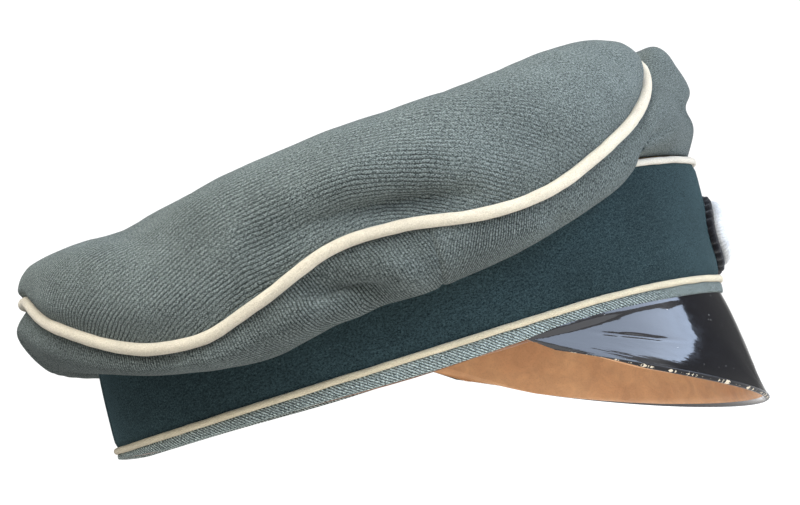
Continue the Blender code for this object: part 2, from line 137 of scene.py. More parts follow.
WALL_FOLDS = (
    (((-46, -101, 34), (-37, -102, 31), (-31, -103, 28), (-26, -103, 25), (-24, -99, 20)), 4.0, -7.0),
    (((-26, -106, 36), (-18, -107, 31), (-14, -107, 26), (-12, -103, 21)), 5.0, 2.6),
    (((-52, -99, 25), (-44, -101, 22)), 6.0, 1.2),
    (((72, -80, 42), (82, -67, 48), (90, -57, 52), (98, -45, 54.5)), 3.2, -2.8),
    (((98, -45, 54.5), (104, -30, 55.5), (109, -10, 55.5), (108, 10, 55)), 3.5, -1.3),
    (((101, -42, 66), (107, -20, 72), (108, 10, 74)), 7.0, 1.0),
    (((80, -76, 53), (91, -60, 60)), 6.0, 1.4),
    (((30, -104, 34), (38, -100, 27)), 4.0, -1.2),
    (((-92, -72, 30), (-84, -78, 22)), 5.0, -1.2),
    (((-22, 105, 34), (-14, 106, 24)), 4.0, -3.0),
    (((44, 98, 38), (52, 90, 30)), 4.0, -2.0),
    (((74, 78, 43), (86, 62, 50), (98, 44, 55)), 4.0, -3.0),
    (((-80, 84, 30), (-70, 90, 22)), 5.0, -2.0),
)


# ---- camera, first ----

CAMERA_TARGET = (0.0052, 0.0, 0.03875)
CAMERA_DISTANCE = 1.171
CAMERA_AZIMUTH = -10.94
CAMERA_ELEVATION = -1.98
CAMERA_ROLL = 17.46
CAMERA_LENS = 161.94
CAMERA_SENSOR = 36.0


def make_camera():
    a, e, r = (math.radians(v) for v in (CAMERA_AZIMUTH, CAMERA_ELEVATION, CAMERA_ROLL))
    back = Vector((math.sin(a) * math.cos(e), -math.cos(a) * math.cos(e), math.sin(e)))
    right = (-back).cross(Vector((0, 0, 1))).normalized()
    above = right.cross(-back)
    side = math.cos(r) * right - math.sin(r) * above
    top = math.sin(r) * right + math.cos(r) * above
    data = bpy.data.cameras.new("camera")
    data.lens = CAMERA_LENS
    data.sensor_width = CAMERA_SENSOR
    item = bpy.data.objects.new("camera", data)
    place = Vector(CAMERA_TARGET) + back * CAMERA_DISTANCE
    turn = Matrix((side, top, back)).transposed().to_4x4()
    item.matrix_world = Matrix.Translation(place) @ turn
    bpy.context.scene.collection.objects.link(item)
    bpy.context.scene.camera = item


# ---- shape functions, in millimetres ----

def station(table, place, column):
    """Smooth values between a table's rows, level at both ends."""
    rows = np.array(table, float)
    xs, ys = rows[:, 0], rows[:, column]
    slopes = np.zeros_like(ys)
    slopes[1:-1] = (ys[2:] - ys[:-2]) / (xs[2:] - xs[:-2])
    place = np.clip(place, xs[0], xs[-1])
    row = np.clip(np.searchsorted(xs, place, side="right") - 1, 0, len(xs) - 2)
    span = xs[row + 1] - xs[row]
    t = (place - xs[row]) / span
    rise = ys[row + 1] - ys[row]
    start, end = slopes[row] * span, slopes[row + 1] * span
    return ys[row] + t * (start + t * (3 * rise - 2 * start - end + t * (start + end - 2 * rise)))


def through(controls, shares):
    """Smooth curves through (angles, controls, 3) points, as (shares, angles, 3)."""
    last = controls.shape[1] - 1
    before = 2 * controls[:, :1] - controls[:, 1:2]
    after = 2 * controls[:, -1:] - controls[:, -2:-1]
    padded = np.concatenate([before, controls, after], axis=1)
    place = np.asarray(shares) * last
    first = np.minimum(place.astype(int), last - 1)
    t = (place - first)[:, None, None]
    a, b, c, d = (np.swapaxes(padded[:, first + k], 0, 1) for k in range(4))
    return b + 0.5 * t * (c - a + t * (2 * a - 5 * b + 4 * c - d + t * (3 * (b - c) + d - a)))


def smooth_step(share):
    """From 0 to 1 over a share of 0 to 1, level at both ends."""
    share = np.clip(share, 0, 1)
    return share * share * (3 - 2 * share)


def dip(angle):
    return FRONT_DIP * np.maximum(0.0, np.cos(angle) - DIP_START) ** 2


def band_point(angle, out, up):
    angle, out, up = np.broadcast_arrays(angle, out, up)
    x = (HALF_LENGTH + out) * np.cos(angle) + BAND_LEAN * up
    y = (HALF_WIDTH + out) * np.sin(angle)
    return np.stack([x, y, up - dip(angle)], axis=-1)


def crown_point(angle, out, height):
    angle, out, height = np.broadcast_arrays(angle, out, height)
    x = (HALF_LENGTH + out) * np.cos(angle) + CROWN_SHIFT
    y = (HALF_WIDTH + out) * np.sin(angle)
    return np.stack([x, y, height], axis=-1)


def by_side(right, left, angle, column):
    degrees = np.abs(np.degrees(angle))
    return np.where(angle > 0, station(left, degrees, column), station(right, degrees, column))


def piping_place(angle):
    """How far out and how high the crown's piping runs."""
    return [by_side(PIPING_STATIONS, PIPING_LEFT, angle, column) for column in (1, 2)]


def wall_controls(angle):
    """Control points up the wall: hanging over the band, standing, or lifted behind the badge."""
    degrees = np.abs(np.degrees(angle))
    low = by_side(FOLD_STATIONS, FOLD_LEFT, angle, 1)
    belly = by_side(FOLD_STATIONS, FOLD_LEFT, angle, 2)
    piping_out, piping_up = piping_place(angle)
    seam_up = CROWN_SEAM_UP - dip(angle)
    hang = smooth_step((seam_up + 4 - low) / 14)
    top = piping_up - CLOTH_ON_PIPING
    leg_out = BAND_THICK + 3
    rear = np.clip((degrees - 150) / 30, 0, 1)
    hanging = (
        (CROWN_SEAM_OUT, seam_up),
        (leg_out - 0.5, seam_up - 0.5),
        (leg_out + 0.6, seam_up + 0.55 * (low - seam_up)),
        (leg_out + 0.25 * (belly - leg_out), low + 1.5),
        (leg_out + 0.65 * (belly - leg_out), low + 0.5),
        (belly, low + (0.4 + 0.25 * rear) * (top - low)),
        (piping_out, top),
    )
    rise = top - seam_up
    standing = (
        (CROWN_SEAM_OUT, seam_up),
        (CROWN_SEAM_OUT + 0.5 * (belly - CROWN_SEAM_OUT), seam_up + 0.12 * rise),
        (CROWN_SEAM_OUT + 0.85 * (belly - CROWN_SEAM_OUT), seam_up + 0.27 * rise),
        (belly, seam_up + 0.43 * rise),
        (piping_out + 0.85 * (belly - piping_out), seam_up + 0.62 * rise),
        (piping_out + 0.5 * (belly - piping_out), seam_up + 0.82 * rise),
        (piping_out, top),
    )
    lifted = (
        (CROWN_SEAM_OUT, seam_up),
        (7.4, seam_up + 0.22 * rise),
        (8.3, seam_up + 0.42 * rise),
        (9.9, seam_up + 0.58 * rise),
        (7.2, seam_up + 0.8 * rise),
        (3.0, piping_up - 0.6),
        (piping_out, top),
    )
    front = smooth_step((37 - degrees) / 17)
    points = []
    for down, up, high in zip(hanging, standing, lifted):
        raised = [high[i] * front + up[i] * (1 - front) for i in (0, 1)]
        out = down[0] * hang + raised[0] * (1 - hang)
        height = down[1] * hang + raised[1] * (1 - hang)
        points.append(crown_point(angle, out, height))
    return np.stack(points, axis=1)


def ridge(x):
    return station(RIDGE_STATIONS, 100 * x / HALF_LENGTH, 1)


def top_controls(angle):
    out, up = piping_place(angle)
    start = up + CLOTH_ON_PIPING
    edge = crown_point(angle, out - 14, 0)
    rise = ridge(edge[..., 0]) - start
    points = [crown_point(angle, out, start)]
    points.append(crown_point(angle, out + 0.06 * rise, start + 0.3 * rise))
    points.append(crown_point(angle, out - 4, start + 0.72 * rise))
    centre = np.array([CROWN_SHIFT, 0.0, 0.0])
    for share in (0.85, 0.62, 0.32, 0.0):
        point = centre + share * (crown_point(angle, out, 0) - centre)
        point[..., 2] = ridge(point[..., 0]) - 1.5 * (share > 0.8)
        points.append(point)
    return np.stack(points, axis=1)


def grid_normals(points):
    """Unit normals of a grid of points, across its rows and columns."""
    along = np.gradient(points, axis=1)
    up = np.gradient(points, axis=0)
    normals = np.cross(along, up)
    return normals / np.maximum(np.linalg.norm(normals, axis=-1, keepdims=True), 1e-9)


def to_segment(points, start, end):
    """Distance of points from a segment, and how far along it their nearest place is."""
    line = end - start
    t = np.clip(((points - start) @ line) / (line @ line), 0, 1)
    return np.linalg.norm(points - (start + t[..., None] * line), axis=-1), t


def fold_amount(points, folds, least=0.45):
    total = np.zeros(points.shape[:-1])
    for route, width, depth in folds:
        route = np.array(route, float)
        lengths = np.linalg.norm(np.diff(route, axis=0), axis=1)
        reached = np.concatenate([[0], np.cumsum(lengths)]) / lengths.sum()
        best = np.full(points.shape[:-1], 1e9)
        where = np.zeros(points.shape[:-1])
        for i in range(len(lengths)):
            gap, t = to_segment(points, route[i], route[i + 1])
            nearer = gap < best
            best = np.where(nearer, gap, best)
            where = np.where(nearer, reached[i] + t * (reached[i + 1] - reached[i]), where)
        taper = least + (1 - least) * np.sin(np.pi * where)
        total += depth * taper * np.exp(-((best / width) ** 2))
    return total


def waver(points, size, seed):
    """Smooth noise of about -1 to 1 at each point, with features of this size."""
    flat = points.reshape(-1, 3) / size + seed
    values = np.array([noise.noise(Vector(p)) for p in flat])
    return values.reshape(points.shape[:-1])


# ---- mesh builders ----

def new_mesh(name, verts, faces, corners, material):
    """A smooth mesh from points in metres, with each face corner's flat coordinates in millimetres."""
    mesh = bpy.data.meshes.new(name)
    mesh.from_pydata(verts, [], faces)
    layer = mesh.uv_layers.new(name="flat")
    layer.data.foreach_set("uv", np.asarray(corners, np.float32).ravel())
    mesh.shade_smooth()
    mesh.materials.append(material)
    return mesh


def new_item(name, mesh):
    item = bpy.data.objects.new(name, mesh)
    bpy.context.scene.collection.objects.link(item)
    return item


def in_metres(points):
    return (points.reshape(-1, 3) / 1000).tolist()


def add_faces(item, verts, faces, corners):
    """Gives a piece more points and faces."""
    mesh = item.data
    flat = np.zeros(len(mesh.loops) * 2, np.float32)
    mesh.uv_layers["flat"].data.foreach_get("uv", flat)
    verts = [tuple(v.co) for v in mesh.vertices] + verts
    faces = [list(p.vertices) for p in mesh.polygons] + faces
    corners = flat.reshape(-1, 2).tolist() + corners
    item.data = new_mesh(mesh.name, verts, faces, corners, mesh.materials[0])


def thicken(item, thickness):
    shell = item.modifiers.new("thickness", "SOLIDIFY")
    shell.thickness = thickness / 1000
    shell.offset = -1


def joined_ends(points):
    """A turned grid with its first column again after its last."""
    return np.concatenate([points, points[:, :1]], axis=1)


def grid_mesh(name, points, uv, material, wrap=False, thickness=0.0, flip=False):
    """A sheet from a grid of points in millimetres, with flat coordinates in millimetres as its UV map.

    A wrapped grid joins its last column to its first, and its uv has one column more.
    """
    rows, columns = points.shape[:2]
    faces, corners = [], []
    for r in range(rows - 1):
        for c in range(columns if wrap else columns - 1):
            k = (c + 1) % columns
            face = [(r, c), (r, k), (r + 1, k), (r + 1, c)]
            spots = [(r, c), (r, c + 1), (r + 1, c + 1), (r + 1, c)]
            if flip:
                face.reverse()
                spots.reverse()
            faces.append([i * columns + j for i, j in face])
            corners.extend(uv[i, j] for i, j in spots)
    item = new_item(name, new_mesh(name, in_metres(points), faces, corners, material))
    if thickness:
        thicken(item, thickness)
    return item


def close_centre(item, points, centre, uv):
    """Fills the small hole at the middle of a turned grid with a fan of faces."""
    rows, columns = points.shape[:2]
    first = (rows - 1) * columns
    faces, corners = [], []
    for c in range(columns):
        faces.append([first + c, first + (c + 1) % columns, rows * columns])
        corners += [list(uv[-1, c]), list(uv[-1, c + 1]), [0.0, 0.0]]
    add_faces(item, [tuple(centre / 1000)], faces, corners)


def disc_mesh(name, points, uv, material):
    """A turned grid of rings, closed at its middle."""
    item = grid_mesh(name, points, uv, material, wrap=True)
    close_centre(item, points, points[-1].mean(axis=0), uv)
    return item


def arc_lengths(points, axis):
    steps = np.linalg.norm(np.diff(points, axis=axis), axis=-1)
    start = np.zeros_like(np.take(steps, [0], axis=axis))
    return np.concatenate([start, np.cumsum(steps, axis=axis)], axis=axis)


def tube_mesh(name, centres, radius, material, sides, wobble, seed):
    """A closed cord: a ring of points round each centre, its thickness wavering a little."""
    ahead = np.roll(centres, -1, axis=0) - np.roll(centres, 1, axis=0)
    ahead /= np.linalg.norm(ahead, axis=1, keepdims=True)
    side = np.cross(ahead, [0.0, 0.0, 1.0])
    side /= np.linalg.norm(side, axis=1, keepdims=True)
    above = np.cross(side, ahead)
    turns = np.linspace(0, 2 * np.pi, sides, endpoint=False)[:, None, None]
    size = (radius * (1 + wobble * waver(centres, 5.0, seed)))[None, :, None]
    rings = centres[None] + size * (np.cos(turns) * side[None] + np.sin(turns) * above[None])
    lengths = arc_lengths(np.concatenate([centres, centres[:1]]), 0)
    round_it = 2 * np.pi * radius / sides * np.arange(sides + 1)
    faces, corners = [], []
    for i in range(len(centres)):
        n = (i + 1) % len(centres)
        for j in range(sides):
            k = (j + 1) % sides
            faces.append([i * sides + j, n * sides + j, n * sides + k, i * sides + k])
            u0, u1 = lengths[i:i + 2]
            v0, v1 = round_it[j:j + 2]
            corners += [(u0, v0), (u1, v0), (u1, v1), (u0, v1)]
    verts = in_metres(np.swapaxes(rings, 0, 1))
    return new_item(name, new_mesh(name, verts, faces, corners, material))


def settle(item, slot, *nodes):
    """Puts a finished piece on the body, in place of its CAD nodes. Its slot argument is not used."""
    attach(item, "root")
    if nodes:
        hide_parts(*nodes)
    return item


def declare_cloth(points, flat=None):
    """Works out how large a stretched piece of cloth was cut, from its grid of points in mm, but does
    nothing with the result.
    """
    first = points[1:, 1:] - points[:-1, :-1]
    second = points[1:, :-1] - points[:-1, 1:]
    area = 0.5 * np.linalg.norm(np.cross(first, second), axis=-1).sum()
    if flat is None:
        flat = (arc_lengths(points, 1)[:, -1].max(), arc_lengths(points, 0)[-1].max())
    area = min(area, flat[0] * flat[1])


# ---- materials ----

class Shader:
    """A material's node tree, built by short calls."""

    def __init__(self, name, **settings):
        self.material = bpy.data.materials.new(name)
        self.material.use_nodes = True
        self.tree = self.material.node_tree
        self.principled = self.tree.nodes["Principled BSDF"]
        for socket, value in settings.items():
            self.principled.inputs[socket.replace("_", " ")].default_value = value

    def node(self, kind, inputs=None, **settings):
        made = self.tree.nodes.new("ShaderNode" + kind)
        for key, value in settings.items():
            setattr(made, key, value)
        for socket, value in (inputs or {}).items():
            self.feed(made.inputs[socket], value)
        return made

    def feed(self, socket, value):
        if isinstance(value, bpy.types.NodeSocket):
            self.tree.links.new(value, socket)
        else:
            socket.default_value = value

    def math(self, operation, a, b=0.0):
        made = self.node("Math", operation=operation)
        self.feed(made.inputs[0], a)
        self.feed(made.inputs[1], b)
        return made.outputs[0]

    def plus(self, a, b):
        return self.math("ADD", a, b)

    def times(self, a, b):
        return self.math("MULTIPLY", a, b)

    def flat(self):
        """The piece's flat coordinates, in millimetres."""
        return self.node("UVMap", uv_map="flat").outputs["UV"]

    def place(self):
        """The piece's own coordinates, in millimetres."""
        coords = self.node("TexCoord").outputs["Object"]
        return self.node("VectorMath", {0: coords, 3: 1000.0}, operation="SCALE").outputs[0]

    def split(self, vector):
        parts = self.node("SeparateXYZ", {0: vector})
        return parts.outputs[0], parts.outputs[1], parts.outputs[2]

    def noise(self, vector, scale, detail=2.0, rough=0.5, distortion=0.0):
        made = self.node("TexNoise", {"Vector": vector, "Scale": scale, "Detail": detail,
                                      "Roughness": rough, "Distortion": distortion})
        return made.outputs["Fac"]

    def stretched(self, vector, stretch):
        return self.node("Mapping", {"Vector": vector, "Scale": stretch}).outputs[0]

    def ramp(self, value, low, high, start=0.0, end=1.0):
        made = self.node("MapRange", {"Value": value, "From Min": low, "From Max": high,
                                      "To Min": start, "To Max": end}, clamp=True)
        return made.outputs[0]

    def mix(self, share, first, second):
        made = self.node("Mix", data_type="RGBA")
        self.feed(made.inputs[0], share)
        self.feed(made.inputs[6], first)
        self.feed(made.inputs[7], second)
        return made.outputs[2]

    def shade(self, colour, amount):
        """A colour made lighter or darker by a number."""
        made = self.node("VectorMath", operation="SCALE")
        self.feed(made.inputs[0], colour)
        self.feed(made.inputs[3], amount)
        return made.outputs[0]

    def bump(self, height, distance, strength=1.0):
        """Relief of a depth in millimetres."""
        made = self.node("Bump", {"Height": height, "Distance": distance / 1000, "Strength": strength})
        return made.outputs[0]

    def finish(self, colour=None, roughness=None, normal=None):
        for socket, value in (("Base Color", colour), ("Roughness", roughness), ("Normal", normal)):
            if value is not None:
                self.feed(self.principled.inputs[socket], value)
        return self.material


def rgb(red, green, blue):
    return (red, green, blue, 1.0)


def ribbed_wool(name, pitch, along_u, slant=0.0, depth=0.22, tone=1.0, cover=1.0, fades=True):
    """Grey-green wool tricot: ribs at a pitch in mm, with knit loops and mixed light fibres, painted
    shade in the rib valleys, and painted shade towards the front.
    """
    s = Shader(name, Roughness=0.93, Sheen_Weight=0.12, Sheen_Roughness=0.45,
               Sheen_Tint=rgb(0.75, 0.85, 0.83), Specular_IOR_Level=0.12)
    flat = s.flat()
    u, v, _ = s.split(flat)
    across, along = (u, v) if along_u else (v, u)
    if slant:
        across = s.plus(across, s.times(along, slant))
    drift = s.times(s.math("SUBTRACT", s.noise(flat, 0.16, 2.0), 0.5), 1.4)
    jitter = s.times(s.math("SUBTRACT", s.noise(flat, 1.1, 2.0), 0.5), 0.3 * pitch)
    phase = s.times(s.plus(s.plus(across, drift), jitter), 2 * math.pi / pitch)
    rib = s.math("MULTIPLY_ADD", s.math("SINE", phase), 0.5)
    rib.node.inputs[2].default_value = 0.5
    loops = s.math("SINE", s.plus(s.times(along, 2 * math.pi / 0.9), phase))
    fibre = s.noise(flat, 1.7, 4.0, 0.85)
    fleck = s.noise(s.stretched(flat, (1.0, 2.2, 1.0)), 1.1, 4.0, 0.85, 0.8)
    broad = s.noise(flat, 0.03, 3.0)
    worn = s.noise(flat, 0.11, 2.0)
    mixed = s.plus(s.times(fibre, 0.55), s.times(fleck, 0.45))
    mixed = s.plus(mixed, s.times(loops, 0.012))
    colour = s.mix(s.ramp(mixed, 0.435, 0.575), rgb(0.026 * tone, 0.037 * tone, 0.036 * tone),
                   rgb(0.335 * tone, 0.385 * tone, 0.362 * tone))
    x, _, z = s.split(s.place())
    # Painted shade: the wool is darker towards the front, more so on the welt.
    fading, painted_front_shade = 1.0, s.ramp(x, 10.0, 90.0, 1.0, 0.66)
    if fades:
        painted_front_shade = s.ramp(x, -40.0, 50.0, 1.0, 0.84)
        fading = s.times(s.ramp(z, 62.0, 80.0, 1.0, 0.35), s.ramp(x, 0.0, 60.0, 1.0, 0.3))
        fading = s.times(fading, s.ramp(s.noise(flat, 0.045, 2.0), 0.32, 0.6, 0.4, 1.0))
    # Painted shade: the colour is darkened in the rib valleys, less where the ribs fade.
    valley_shade_depth = s.times(s.ramp(rib, 0.0, 0.42, 0.5 * cover, 0.0), fading)
    rib_valley_shade = s.math("SUBTRACT", 1.0, valley_shade_depth)
    patch = s.times(s.ramp(broad, 0.3, 0.7, 0.9, 1.1), s.ramp(worn, 0.3, 0.7, 0.94, 1.06))
    colour = s.shade(s.shade(s.shade(colour, rib_valley_shade), patch), painted_front_shade)
    ribs = s.times(s.times(rib, 0.5 * cover), fading)
    height = s.plus(ribs, s.times(loops, 0.04))
    height = s.plus(height, s.times(mixed, 1.3))
    return s.finish(colour, None, s.bump(height, depth, 1.0))


def band_felt(name):
    s = Shader(name, Roughness=0.95, Sheen_Weight=0.28, Sheen_Roughness=0.35,
               Sheen_Tint=rgb(0.3, 0.52, 0.6), Specular_IOR_Level=0.08)
    flat = s.flat()
    fibre = s.noise(flat, 1.5, 4.0, 0.8)
    hairs = s.noise(s.stretched(flat, (0.6, 2.0, 1.0)), 0.9, 4.0, 0.85, 2.5)
    broad = s.noise(flat, 0.035, 3.0)
    mottle = s.noise(flat, 0.35, 3.0, 0.6)
    mixed = s.plus(s.times(fibre, 0.5), s.times(hairs, 0.5))
    colour = s.mix(s.ramp(mixed, 0.41, 0.6), rgb(0.003, 0.009, 0.011), rgb(0.057, 0.094, 0.1))
    long_grain = s.stretched(flat, (1.0, 1.7, 1.0))
    lint = s.node("TexVoronoi", {"Vector": long_grain, "Scale": 0.16, "Randomness": 1.0})
    specks = s.ramp(lint.outputs["Distance"], 0.03, 0.055, 0.35, 0.0)
    colour = s.mix(specks, colour, rgb(0.2, 0.24, 0.24))
    colour = s.shade(colour, s.ramp(broad, 0.3, 0.7, 0.85, 1.15))
    colour = s.shade(colour, s.ramp(mottle, 0.3, 0.7, 0.88, 1.12))
    x, _, _ = s.split(s.place())
    # Painted shade: the felt is darker towards the front, where the front light falls strongest.
    colour = s.shade(colour, s.ramp(x, -20.0, 90.0, 1.0, 0.68))
    return s.finish(colour, None, s.bump(mixed, 0.3, 1.0))


def piping_wool(name, warmth):
    s = Shader(name, Roughness=0.92, Sheen_Weight=0.4, Sheen_Roughness=0.4, Specular_IOR_Level=0.12)
    flat = s.flat()
    fibre = s.noise(flat, 2.4, 4.0, 0.7)
    hairs = s.noise(s.stretched(flat, (0.7, 1.8, 1.0)), 1.2, 4.0, 0.8, 1.5)
    soil = s.noise(flat, 0.09, 3.0)
    mixed = s.plus(s.times(fibre, 0.5), s.times(hairs, 0.5))
    light = rgb(0.86, 0.79 - 0.03 * warmth, 0.66 - 0.12 * warmth)
    dark = rgb(0.58, 0.51 - 0.03 * warmth, 0.39 - 0.08 * warmth)
    colour = s.mix(s.ramp(mixed, 0.36, 0.57), dark, light)
    colour = s.shade(colour, s.ramp(soil, 0.3, 0.7, 0.88, 1.04))
    return s.finish(colour, None, s.bump(mixed, 0.55, 1.0))


def lacquer(name):
    """Black lacquered fibre: deep gloss, fine ripples, a few scuffs, and chips along its edge.

    The flat coordinates run along the peak and, in v, give the distance in from the edge.
    """
    s = Shader(name, Coat_Weight=1.0, Coat_Roughness=0.04, Coat_IOR=1.5, Specular_IOR_Level=0.2)
    flat = s.flat()
    _, inset, _ = s.split(flat)
    ragged = s.noise(flat, 1.7, 4.0, 0.7, 0.4)
    patches = s.noise(flat, 0.3, 3.0, 0.7)
    reach = s.times(s.ramp(patches, 0.47, 0.66), 1.3)
    chip = s.math("LESS_THAN", s.plus(inset, s.times(ragged, 1.6)),
                  s.plus(reach, 0.42))
    specks = s.node("TexVoronoi", {"Vector": flat, "Scale": 0.22, "Randomness": 1.0})
    speck = s.math("LESS_THAN", specks.outputs["Distance"], 0.045)
    scratch = s.noise(s.stretched(flat, (0.15, 3.0, 1.0)), 0.9, 3.0, 0.7)
    scuff = s.ramp(scratch, 0.62, 0.78, 0.0, 0.25)
    colour = s.mix(scuff, rgb(0.006, 0.006, 0.008), rgb(0.05, 0.05, 0.055))
    colour = s.mix(s.times(speck, 0.6), colour, rgb(0.6, 0.6, 0.58))
    colour = s.mix(chip, colour, rgb(0.7, 0.62, 0.48))
    rough = s.ramp(s.noise(flat, 0.25, 3.0), 0.35, 0.7, 0.07, 0.2)
    rough = s.math("MAXIMUM", rough, s.times(chip, 0.85))
    rough = s.math("MAXIMUM", rough, s.ramp(inset, 0.6, 2.2, 0.6, 0.0))
    ripple = s.plus(s.times(s.noise(flat, 0.12, 2.0), 0.8),
                    s.times(s.noise(flat, 1.5, 2.0), 0.03))
    height = s.math("SUBTRACT", ripple, s.times(chip, 0.9))
    normal = s.bump(height, 0.12, 0.8)
    material = s.finish(colour, rough, normal)
    s.feed(s.principled.inputs["Coat Normal"], normal)
    s.feed(s.principled.inputs["Coat Weight"], s.ramp(inset, 0.2, 2.2, 0.12, 1.0))
    return material


def leather(name, light, dark, gloss, crease_scale=0.5):
    s = Shader(name, Specular_IOR_Level=0.35)
    place = s.place()
    grain = s.node("TexVoronoi", {"Vector": place, "Scale": 1.4, "Randomness": 1.0}).outputs["Distance"]
    crease = s.noise(place, crease_scale, 5.0, 0.65, 0.8)
    broad = s.noise(place, 0.045, 4.0, 0.6)
    stain = s.noise(place, 0.14, 4.0, 0.65, 1.0)
    colour = s.mix(s.ramp(broad, 0.32, 0.68), dark, light)
    colour = s.shade(colour, s.ramp(stain, 0.3, 0.7, 0.86, 1.08))
    colour = s.shade(colour, s.ramp(grain, 0.0, 0.5, 0.9, 1.03))
    height = s.plus(s.times(grain, 0.5), s.times(crease, 0.9))
    rough = s.ramp(crease, 0.3, 0.7, gloss - 0.08, gloss + 0.12)
    return s.finish(colour, rough, s.bump(height, 0.12, 0.7))


def satin(name, light, dark):
    s = Shader(name, Anisotropic=0.5, Sheen_Weight=0.2, Specular_IOR_Level=0.5)
    flat = s.flat()
    u, v, _ = s.split(flat)
    weave = s.times(s.math("SINE", s.times(u, 2 * math.pi / 0.35)),
                   s.math("SINE", s.times(v, 2 * math.pi / 0.22)))
    slub = s.noise(s.stretched(flat, (0.08, 2.5, 1.0)), 0.8, 3.0)
    age = s.noise(flat, 0.03, 4.0, 0.6)
    colour = s.mix(s.ramp(age, 0.3, 0.7), dark, light)
    colour = s.shade(colour, s.ramp(slub, 0.3, 0.7, 0.88, 1.08))
    height = s.plus(s.times(weave, 0.25), slub)
    rough = s.ramp(slub, 0.3, 0.7, 0.3, 0.45)
    return s.finish(colour, rough, s.bump(height, 0.08, 0.6))


def celluloid(name):
    s = Shader(name, Coat_Weight=0.6, Alpha=0.55, IOR=1.5)
    place = s.place()
    haze = s.noise(place, 0.06, 4.0, 0.6)
    colour = s.mix(s.ramp(haze, 0.3, 0.7), rgb(0.62, 0.48, 0.26), rgb(0.8, 0.7, 0.5))
    rough = s.ramp(haze, 0.3, 0.7, 0.12, 0.3)
    return s.finish(colour, rough, s.bump(s.noise(place, 0.08, 2.0), 0.6, 0.4))


def black_felt(name):
    s = Shader(name, Roughness=1.0, Sheen_Weight=0.25, Sheen_Roughness=0.4, Specular_IOR_Level=0.1)
    place = s.place()
    fibre = s.noise(place, 3.0, 4.0, 0.75)
    colour = s.mix(s.ramp(fibre, 0.35, 0.7), rgb(0.004, 0.004, 0.005), rgb(0.03, 0.03, 0.034))
    return s.finish(colour, None, s.bump(fibre, 0.2, 1.0))


THREAD_PITCH = 0.42


def silver_thread(name):
    s = Shader(name, Metallic=0.1, Sheen_Weight=0.4)
    flat = s.flat()
    u, v, _ = s.split(flat)
    turn = s.math("SINE", s.times(s.plus(u, s.times(v, 0.6)),
                                 2 * math.pi / THREAD_PITCH))
    tarnish = s.noise(s.place(), 0.35, 3.0)
    colour = s.mix(s.ramp(tarnish, 0.3, 0.72), rgb(0.78, 0.79, 0.78), rgb(0.95, 0.96, 0.96))
    colour = s.shade(colour, s.ramp(turn, -1.0, 0.4, 0.8, 1.0))
    return s.finish(colour, s.ramp(tarnish, 0.3, 0.7, 0.45, 0.62), s.bump(turn, 0.12, 0.8))


def worn_metal(name, colour_low, colour_high, rough):
    s = Shader(name, Metallic=1.0)
    place = s.place()
    wear = s.noise(place, 0.4, 4.0, 0.6)
    brush = s.noise(s.stretched(place, (0.2, 3.0, 3.0)), 1.0, 3.0)
    colour = s.mix(s.ramp(wear, 0.3, 0.7), colour_low, colour_high)
    return s.finish(colour, s.ramp(wear, 0.3, 0.7, rough, rough + 0.2), s.bump(brush, 0.03, 0.5))


def plain_fibre(name, light, dark, scale=1.5):
    s = Shader(name, Roughness=0.95, Specular_IOR_Level=0.2)
    place = s.place()
    fibre = s.noise(place, scale, 4.0, 0.7)
    return s.finish(s.mix(s.ramp(fibre, 0.3, 0.7), dark, light), None, s.bump(fibre, 0.3, 0.8))


def thread_wool(name, colour):
    s = Shader(name, Roughness=0.8, Sheen_Weight=0.2)
    flat = s.flat()
    u, v, _ = s.split(flat)
    twist = s.math("SINE", s.times(s.plus(u, v), 2 * math.pi / 0.5))
    dark = rgb(*(0.6 * c for c in colour))
    return s.finish(s.mix(s.ramp(twist, -1, 1), dark, rgb(*colour)), None, s.bump(twist, 0.08, 0.8))


# ---- the crown ----

CROWN_ANGLES = 440


def full_turn(count):
    return np.linspace(-np.pi, np.pi, count, endpoint=False)


def make_crown_top():
    angles = full_turn(CROWN_ANGLES)
    shares = np.concatenate([np.linspace(0, 0.3, 34, endpoint=False), np.linspace(0.3, 0.985, 46)])
    points = through(top_controls(angles), shares)
    out, up = piping_place(angles)
    tuck = [crown_point(angles, out - 2.6, up + 0.5), crown_point(angles, out - 1.2, up + 0.8)]
    points = np.concatenate([np.stack(tuck), points])
    closed = np.concatenate([points[:, -1:], points, points[:, :1]], axis=1)
    normals = grid_normals(closed)[:, 1:-1]
    amount = fold_amount(points, TOP_FOLDS)
    amount += 0.7 * waver(points, 24.0, 3.0) + 0.22 * waver(points, 8.0, 5.0)
    seam = arc_lengths(points, 0)
    pucker = 0.28 * waver(np.stack([points[..., 0], points[..., 1], 0 * seam], -1), 4.5, 7.0)
    amount += pucker * np.exp(-((seam / 6.0) ** 2))
    held = np.clip((seam - 2.0) / 5.0, 0, 1)
    middle = np.clip((1 - np.concatenate([[0, 0], shares])) / 0.12, 0, 1)[:, None]
    points = points + normals * (amount * held * (0.25 + 0.75 * middle))[..., None]
    centre = points[-1].mean(axis=0)
    lengths = arc_lengths(points, 0)
    inner = lengths[-1:] - lengths + np.linalg.norm(points[-1] - centre, axis=1)[None]
    turn = np.linspace(-np.pi, np.pi, CROWN_ANGLES + 1)
    inner = joined_ends(inner)
    uv = np.stack([inner * np.cos(turn), inner * np.sin(turn)], axis=-1)
    item = grid_mesh("crown_top_cloth", points, uv, wool_top, wrap=True)
    close_centre(item, points, centre, uv)
    thicken(item, 1.0)
    declare_cloth(joined_ends(points), np.ptp(uv.reshape(-1, 2), axis=0))
    return settle(item, "crown_wool", "crown_top_panel")


